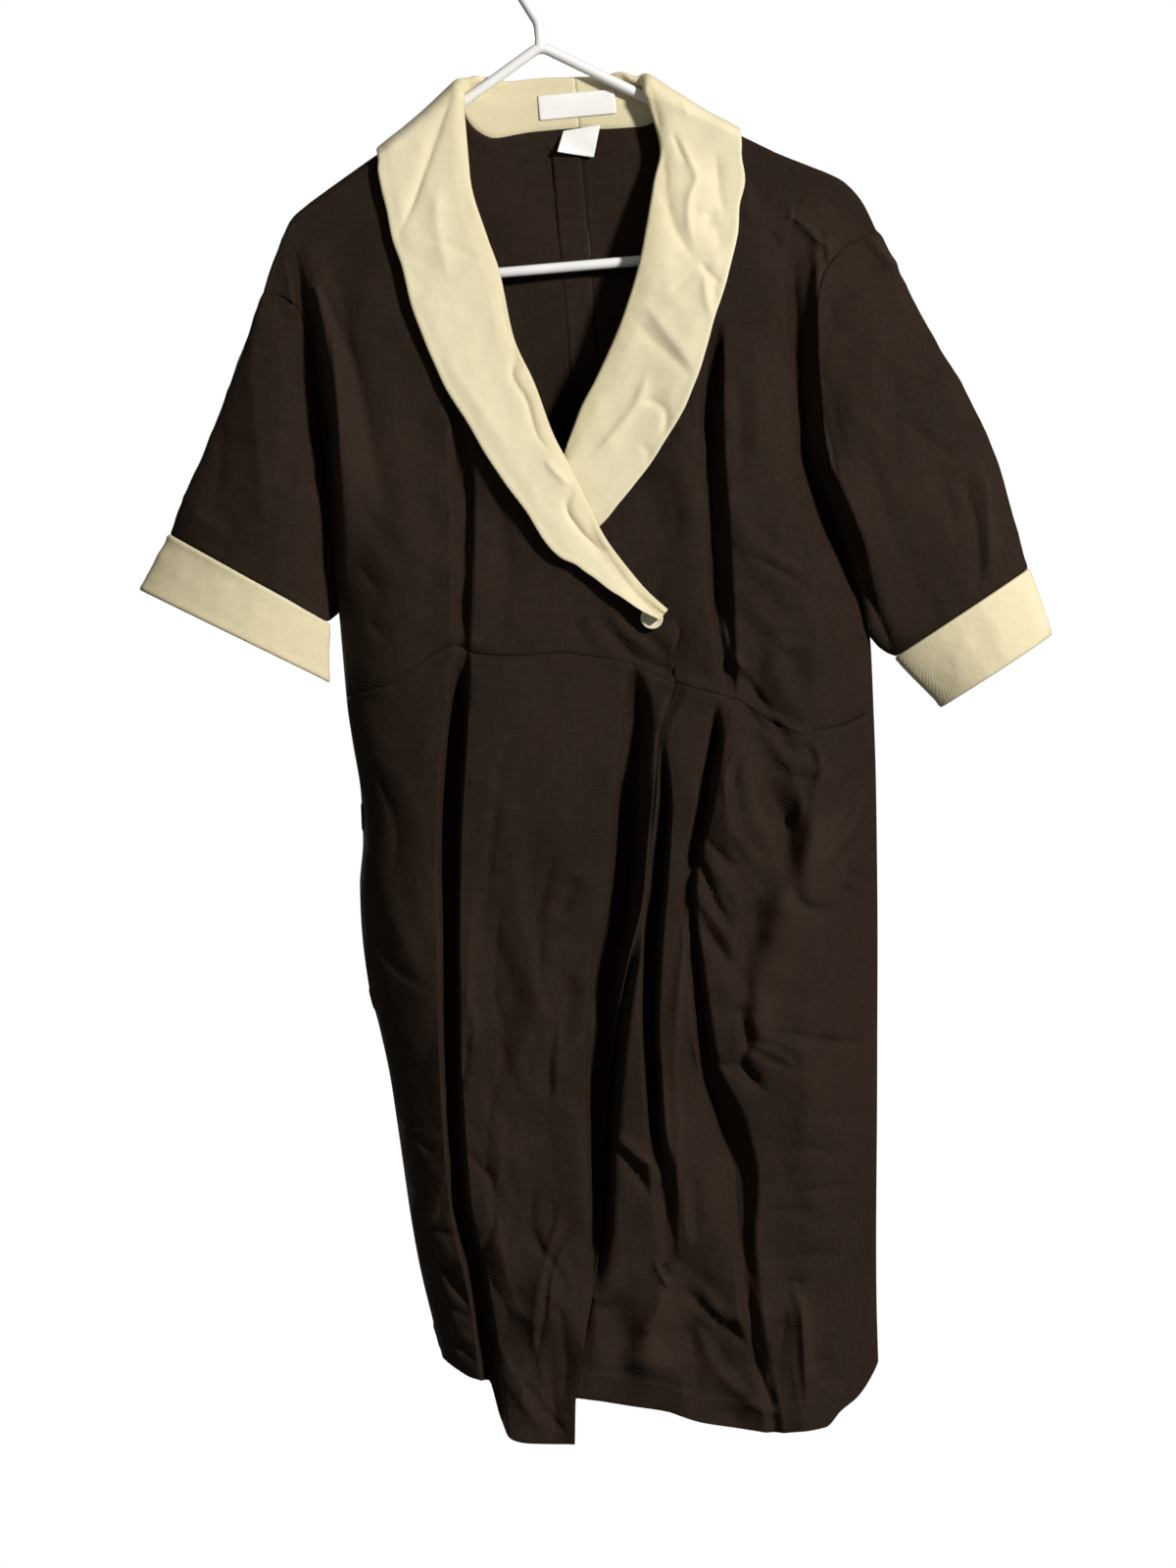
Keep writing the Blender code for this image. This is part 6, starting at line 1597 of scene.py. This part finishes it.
class Nodes:
    """A material's node tree, with a short way to add and join its nodes."""

    def __init__(self, name, roughness):
        self.material = bpy.data.materials.new(name)
        self.material.use_nodes = True
        self.tree = self.material.node_tree
        self.shader = self.tree.nodes["Principled BSDF"]
        self.shader.inputs["Roughness"].default_value = roughness
        self.place = self.add("ShaderNodeTexCoord").outputs["Object"]

    def add(self, kind, **values):
        node = self.tree.nodes.new(kind)
        for key, value in values.items():
            if hasattr(node, key):
                setattr(node, key, value)
            else:
                self.put(node.inputs[key.replace("_", " ")], value)
        return node

    def put(self, socket, value):
        if isinstance(value, bpy.types.NodeSocket):
            self.tree.links.new(value, socket)
        else:
            socket.default_value = value

    def mapped(self, scale, turn=(0, 0, 0)):
        node = self.add("ShaderNodeMapping", Vector=self.place)
        node.inputs["Scale"].default_value = scale
        node.inputs["Rotation"].default_value = [math.radians(a) for a in turn]
        return node.outputs["Vector"]

    def noise(self, scale, detail=3.0, stretch=(1, 1, 1), turn=(0, 0, 0)):
        node = self.add("ShaderNodeTexNoise", Scale=scale, Detail=detail, Vector=self.mapped(stretch, turn))
        return node.outputs["Fac"]

    def wave(self, scale, turn, axis="DIAGONAL"):
        node = self.add("ShaderNodeTexWave", bands_direction=axis, Scale=scale, Distortion=1.2, Detail=2.0)
        node.inputs["Detail Scale"].default_value = 2.5
        self.put(node.inputs["Vector"], self.mapped((1, 1, 1), turn))
        return node.outputs["Fac"]

    def maths(self, operation, first, second):
        node = self.add("ShaderNodeMath", operation=operation)
        self.put(node.inputs[0], first)
        self.put(node.inputs[1], second)
        return node.outputs[0]

    def spread(self, value, low, high, start=0.3, end=0.7):
        node = self.add("ShaderNodeMapRange", Value=value)
        for name, amount in (("From Min", start), ("From Max", end), ("To Min", low), ("To Max", high)):
            node.inputs[name].default_value = amount
        return node.outputs[0]

    def mix(self, factor, first, second, kind="MIX"):
        node = self.add("ShaderNodeMix", data_type="RGBA", blend_type=kind)
        self.put(node.inputs["Factor"], factor)
        for socket, value in zip([s for s in node.inputs if s.type == "RGBA"], (first, second)):
            self.put(socket, value if isinstance(value, bpy.types.NodeSocket) else (*value, 1.0))
        return next(s for s in node.outputs if s.type == "RGBA")

    def bump(self, height, strength, distance, before=None):
        node = self.add("ShaderNodeBump", Strength=strength, Distance=distance, Height=height)
        if before is not None:
            self.put(node.inputs["Normal"], before)
        return node.outputs["Normal"]

    def finish(self, colour, roughness, normal, **constants):
        self.put(self.shader.inputs["Base Color"], colour)
        self.put(self.shader.inputs["Roughness"], roughness)
        self.put(self.shader.inputs["Normal"], normal)
        for name, value in constants.items():
            self.shader.inputs[name.replace("_", " ")].default_value = value
        return self.material


def woven(name, dark, light, wear_and_highlight_colour, pitch, rough, turn, sheen, tint, specular, relief_size):
    """A twill: diagonal ribs, uneven threads both ways, slow changes of tone, edges paler from rubbing, and a
    painted highlight: paler colour on crease ridges and raised parts.

    Its crinkle is stronger where the cloth is crumpled.
    """
    made = Nodes(name, sum(rough) / 2)
    ribs = made.wave(RIBS_TO_PITCH / pitch, turn)
    warp = made.noise(THREADS, 2.0, (1, 1, 0.12), turn)
    weft = made.noise(THREADS, 2.0, (0.12, 1, 1), turn)
    fibres = made.noise(FIBRES, 1.0)
    clouds = made.noise(CLOUDS, 3.0)
    mottle = made.noise(MOTTLE, 4.0)
    threads = made.maths("ADD", made.maths("MULTIPLY", warp, 0.5), made.maths("MULTIPLY", weft, 0.5))
    shade = made.maths("ADD", made.spread(threads, 0.0, 0.5), made.spread(clouds, 0.0, 0.34))
    shade = made.maths("ADD", shade, made.maths("MULTIPLY", ribs, 0.12))
    shade = made.maths("ADD", shade, made.spread(mottle, 0.0, 0.14))
    colour = made.mix(shade, dark, light)
    # Painted highlight and rubbing: the colour goes toward the paler third colour on crease ridges, raised
    # parts, edges and hems, flecked by the fibres.
    wear_and_highlight = made.add("ShaderNodeAttribute", attribute_name="wear_and_highlight").outputs["Fac"]
    wear_and_highlight_mask = made.maths("MULTIPLY", made.spread(wear_and_highlight, 0.0, 0.55, 0.3, 1.0), made.spread(fibres, 0.6, 1.0))
    colour = made.mix(wear_and_highlight_mask, colour, wear_and_highlight_colour)
    roughness = made.spread(mottle, *rough)
    height = made.maths("ADD", made.maths("MULTIPLY", ribs, 0.55), made.maths("MULTIPLY", threads, 0.8))
    normal = made.bump(height, 0.35, relief_size)
    creased = made.add("ShaderNodeAttribute", attribute_name="creased").outputs["Fac"]
    crinkles = made.add("ShaderNodeTexNoise", noise_type="RIDGED_MULTIFRACTAL", Scale=CRINKLES, Detail=2.5,
                        Vector=made.mapped((1, 1, 0.55), (0, 20, 0))).outputs["Fac"]
    normal = made.bump(made.maths("MULTIPLY", crinkles, creased), 0.8, 0.008, normal)
    normal = made.bump(made.noise(SOFT_DENTS, 3.0), 0.12, 0.004, normal)
    return made.finish(colour, roughness, normal, Sheen_Weight=sheen, Sheen_Roughness=0.45,
                       Sheen_Tint=(*tint, 1.0), Specular_IOR_Level=specular)


def plain(name, dark, light, rough, grain, depth, coat=0.0):
    """Label tape, thread and moulded plastic: slow changes of shade, fine grain and a few scuffs."""
    made = Nodes(name, sum(rough) / 2)
    clouds = made.spread(made.noise(40.0, 3.0), 0.0, 0.6)
    colour = made.mix(made.maths("ADD", clouds, made.spread(made.noise(grain), 0.0, 0.4)), dark, light)
    scuffs = made.noise(90.0, 4.0, (1, 1, 5))
    normal = made.bump(made.noise(grain, 2.0), 0.2, depth)
    return made.finish(colour, made.spread(scuffs, *rough), normal, Coat_Weight=coat)


def brown(turn=0):
    # The third colour is the paler one used for edges paler from rubbing and for the painted highlight on
    # crease ridges.
    return woven("brown_twill", dark=(0.0085, 0.0050, 0.0030), light=(0.0300, 0.0185, 0.0120),
                 wear_and_highlight_colour=(0.036, 0.023, 0.0155), pitch=0.0016, rough=(0.72, 0.9), turn=(0, turn, 0), sheen=0.05,
                 tint=(0.55, 0.38, 0.28), specular=0.08, relief_size=0.0011)


def cream(turn=0):
    # The third colour is the paler one used for edges paler from rubbing and for the painted highlight on
    # crease ridges.
    return woven("cream_twill", dark=(0.575, 0.51, 0.32), light=(0.71, 0.635, 0.42), wear_and_highlight_colour=(0.76, 0.695, 0.50),
                 pitch=0.0013, rough=(0.62, 0.8), turn=(0, turn, 0), sheen=0.08, tint=(0.9, 0.9, 0.8),
                 specular=0.3, relief_size=0.0004)


def area_light(name, place, aim, size, energy, colour):
    data = bpy.data.lights.new(name, "AREA")
    data.shape = "DISK"
    data.size = size
    data.energy = energy
    data.color = colour
    made = bpy.data.objects.new(name, data)
    made.location = place
    made.rotation_mode = "QUATERNION"
    made.rotation_quaternion = (Vector(aim) - Vector(place)).to_track_quat("-Z", "Y")
    bpy.context.collection.objects.link(made)


def camera():
    """The camera of the photograph, rolled as it was."""
    data = bpy.data.cameras.new("camera")
    data.sensor_width = 36.0
    data.lens = data.sensor_width * (CAMERA_DISTANCE + SHARP_PLANE) / VIEW_HEIGHT
    made = bpy.data.objects.new("camera", data)
    roll = math.radians(CAMERA_ROLL)
    right = Vector((math.cos(roll), 0, -math.sin(roll)))
    up = Vector((math.sin(roll), 0, math.cos(roll)))
    turned = Matrix((right, up, (0, -1, 0))).transposed().to_4x4()
    made.matrix_world = Matrix.Translation((VIEW_MIDDLE[0], -CAMERA_DISTANCE, VIEW_MIDDLE[1])) @ turned
    bpy.context.collection.objects.link(made)
    bpy.context.scene.camera = made


def world():
    """A dim pale surround that lights the dress, and is white where the camera sees it."""
    made = bpy.data.worlds.new("studio")
    made.use_nodes = True
    tree = made.node_tree
    dim = tree.nodes["Background"]
    dim.inputs["Color"].default_value = (1.0, 0.99, 0.975, 1)
    dim.inputs["Strength"].default_value = 0.11
    shown = tree.nodes.new("ShaderNodeBackground")
    shown.inputs["Color"].default_value = (1, 1, 1, 1)
    shown.inputs["Strength"].default_value = 1.0
    rays = tree.nodes.new("ShaderNodeLightPath")
    mixed = tree.nodes.new("ShaderNodeMixShader")
    tree.links.new(rays.outputs["Is Camera Ray"], mixed.inputs[0])
    tree.links.new(dim.outputs[0], mixed.inputs[1])
    tree.links.new(shown.outputs[0], mixed.inputs[2])
    tree.links.new(mixed.outputs[0], tree.nodes["World Output"].inputs["Surface"])
    bpy.context.scene.world = made


def floor():
    """A pale round floor far below the hem."""
    mesh = bpy.data.meshes.new("floor")
    turns = np.linspace(0, 2 * math.pi, 97)[:-1]
    rim = [(FLOOR_RADIUS * math.cos(a), FLOOR_RADIUS * math.sin(a), FLOOR) for a in turns]
    mesh.from_pydata(rim, [], [tuple(range(len(rim)))])
    surface = Nodes("floor", 0.9)
    clouds = surface.spread(surface.noise(0.8, 2.0), 0.0, 1.0)
    tone = surface.mix(clouds, (0.84, 0.84, 0.83), (0.88, 0.88, 0.87))
    surface.put(surface.shader.inputs["Base Color"], tone)
    surface.shader.inputs["Emission Color"].default_value = (1, 1, 1, 1)
    surface.shader.inputs["Emission Strength"].default_value = 0.45
    mesh.materials.append(surface.material)
    made = bpy.data.objects.new("floor", mesh)
    bpy.context.collection.objects.link(made)
    made.visible_diffuse = made.visible_glossy = False


def studio():
    """The camera of the photograph, a hard key light from the right with a faint fill, and a pale floor."""
    camera()
    warm = (1.0, 0.98, 0.95)
    area_light("key", place=(2.35, -2.65, 0.6), aim=(0, 0, -0.62), size=0.42, energy=176,
               colour=(1.0, 0.975, 0.94))
    area_light("fill", place=(-1.9, -2.2, -0.2), aim=(0, 0, -0.65), size=1.6, energy=4, colour=warm)
    area_light("back", place=(-1.1, 2.6, 0.5), aim=(0, 0, -0.6), size=0.8, energy=60, colour=warm)
    world()
    floor()
    bpy.context.scene.view_settings.view_transform = "Standard"


def right_front(cloth):
    """The right bodice and skirt, which lap over. Gives the collar, its stations and the skirt's grid."""
    collar = Collar(COLLAR_RIGHT, without_folds(over_y))
    keys = [*map(from_left, (3, 12, 20, 26, 33)), *lips(folds_over, 2), 0.42, 0.59, 0.2]
    steps = [1, 1, 1, 1, 1, 1, 1, 1, 1, 2, 2, 1, 1]
    stations, flat = front_bodice("right", collar, WRAP_CORNER, WAIST_OVER, keys, steps)
    panel("bodice_front_right", flat, over_y, CREASES_OVER + CREASES_ARMHOLE, ("top", "bottom", "left"), 3,
          cloth, front_of_seam)
    pleat, band = lips(folds_over, 0), lips(folds_over, 1, (0, 1))
    keys = [from_left(3), from_left(14), *pleat, lambda z: pleat[3](z) * 0.45 + band[0](z) * 0.55, *band]
    flat = skirt(flat[-1], HEM_OVER, left_edge, wrap_edge, keys, [1, 1, 2, 1, 1, 1, 3, 2, 1, 2])
    grid = panel("skirt_front_right", flat, over_y, CREASES_OVER, ("top", "left"), 4, cloth, front_of_seam,
                 hem=True)
    return collar, stations, grid


def left_front(cloth):
    """The left bodice and skirt, which lap under. Gives the collar, its stations and the skirt's grid."""
    collar = Collar(COLLAR_LEFT, without_folds(under_y))
    hole_lips = lips(folds_under, 4)
    keys = [0.427, *lips(folds_under, 3), lambda z: np.minimum(hole_lips[0](z), right_edge(z) - 26),
            lambda z: np.minimum(hole_lips[1](z), right_edge(z) - 14)]
    steps = [3, 3, 1, 1, 1, 3, 1, 3]
    stations, flat = front_bodice("left", collar, HIDDEN_CORNER, WAIST_UNDER, keys, steps)
    panel("bodice_front_left", flat, under_y, CREASES_UNDER + CREASES_ARMHOLE, ("top", "bottom", "right"), 11,
          cloth, front_of_seam)
    second, third = lips(folds_under, 0, (0, 1, 3)), lips(folds_under, 1, (0, 1, 3))
    keys = [lambda z: wrap_edge(z) - UNDERLAP_DROP, wrap_edge, *second, *third, *map(from_right, (60, 18, 4))]
    flat = skirt(flat[-1], HEM_UNDER, hidden_edge, right_edge, keys, [2, 1, 1, 1, 1, 1, 1, 1, 2, 3, 1, 1])
    grid = panel("skirt_front_left", flat, under_y, CREASES_UNDER, ("top", "right"), 12, cloth, front_of_seam,
                 hem=True)
    return collar, stations, grid


def back(cloth, collars):
    """Both halves of the back bodice, and the skirt. Gives the collars' stations and the skirt's grid."""
    halves = {side: back_half(side, collar) for side, collar in collars.items()}
    for side, (flat, _) in halves.items():
        panel("bodice_back_" + side, flat, back_y, CREASES_BACK, ALL_EDGES, 21, cloth, behind_seam,
              BACK_CELL)
    waist = np.concatenate([halves["right"][0][-1][:-1], halves["left"][0][-1][::-1]])
    first, third, second = (lips(folds_back, k) for k in range(3))
    keys = [from_left(3), from_left(16), *first, *second, *third, from_right(16), from_right(3)]
    steps = [1, 1, 5, 1, 1, 1, 5, 1, 3, 1, 5, 1, 1, 1, 2, 1, 1]
    flat = skirt(waist, HEM_BACK, left_edge, right_edge, keys, steps)
    grid = panel("skirt_back", flat, back_y, CREASES_BACK, ("top", "left", "right"), 22, cloth, behind_seam,
                 BACK_CELL, hem=True)
    return {side: stations for side, (_, stations) in halves.items()}, grid


def hem_runs(grids):
    """The line of the hem's stitches on each skirt, and the way out of the cloth along it."""
    runs = []
    for grid in grids:
        row = np.argmin(np.abs(distance_in(grid, ["bottom"]) - HEM_FOLD), axis=0)
        column = np.arange(grid.shape[1])
        out = outward(grid, False)[row, column]
        runs.append((grid[row, column] + 0.1 * out, out))
    return runs


def dress():
    """Every piece of the dress, and the hanger."""
    brown_cloth, cream_cloth = brown(), cream()
    white_label = plain("label_tape", (0.74, 0.74, 0.72), (0.88, 0.88, 0.86), (0.45, 0.6), 900.0, 0.0003)
    white_plastic = plain("white_plastic", (0.78, 0.78, 0.77), (0.86, 0.86, 0.85), (0.25, 0.42), 300.0,
                          0.0002, coat=0.1)
    cream_plastic = plain("cream_plastic", (0.62, 0.58, 0.40), (0.82, 0.78, 0.58), (0.16, 0.3), 260.0,
                          0.0002, coat=0.3)
    thread = plain("brown_thread", (0.03, 0.02, 0.015), (0.07, 0.05, 0.04), (0.5, 0.7), 1400.0, 0.0001)
    white_thread = plain("white_thread", (0.7, 0.7, 0.66), (0.85, 0.85, 0.8), (0.5, 0.7), 1400.0, 0.0001)

    right, stations_right, skirt_right = right_front(brown_cloth)
    left, stations_left, skirt_left = left_front(brown_cloth)
    stations_back, skirt_behind = back(brown_cloth, {"right": right, "left": left})
    collar_half("right", right, stations_right, stations_back["right"], 31, cream_cloth,
                0.35)
    collar_half("left", left, stations_left, stations_back["left"], 32, cream_cloth,
                0.6)
    sleeve("right", SLEEVE_RIGHT_TOP, SLEEVE_RIGHT_UNDER, CUFF_RIGHT_END, 41, brown(28), cream(28))
    sleeve("left", SLEEVE_LEFT_TOP, SLEEVE_LEFT_UNDER, CUFF_LEFT_END, 42, brown(-28), cream(-28))
    back_pleat(brown_cloth)
    label = neck_label(right, white_label)
    care = care_label(white_label)
    threads = button(cream_plastic)
    hanger(white_plastic)

    stitches("button_thread", threads, 4.2, 1.0, 0.35, white_thread)
    inward = np.array([0, -1.0, 0])
    ring = np.concatenate([label[2, 2:-2], label[2:-2, -3], label[-3, -3:1:-1], label[-3:1:-1, 2]])
    for name, line in (("label_stitches", ring), ("care_label_stitches", care[2, 1:-1])):
        stitches(name, [(line + 0.05 * inward, inward)], 1.6, 0.8, 0.16, white_thread)
    stitches("hem_stitches", hem_runs((skirt_right, skirt_left, skirt_behind)), 1.4, 3.4, 0.18, thread)


studio()
dress()
bpy.context.view_layer.update()
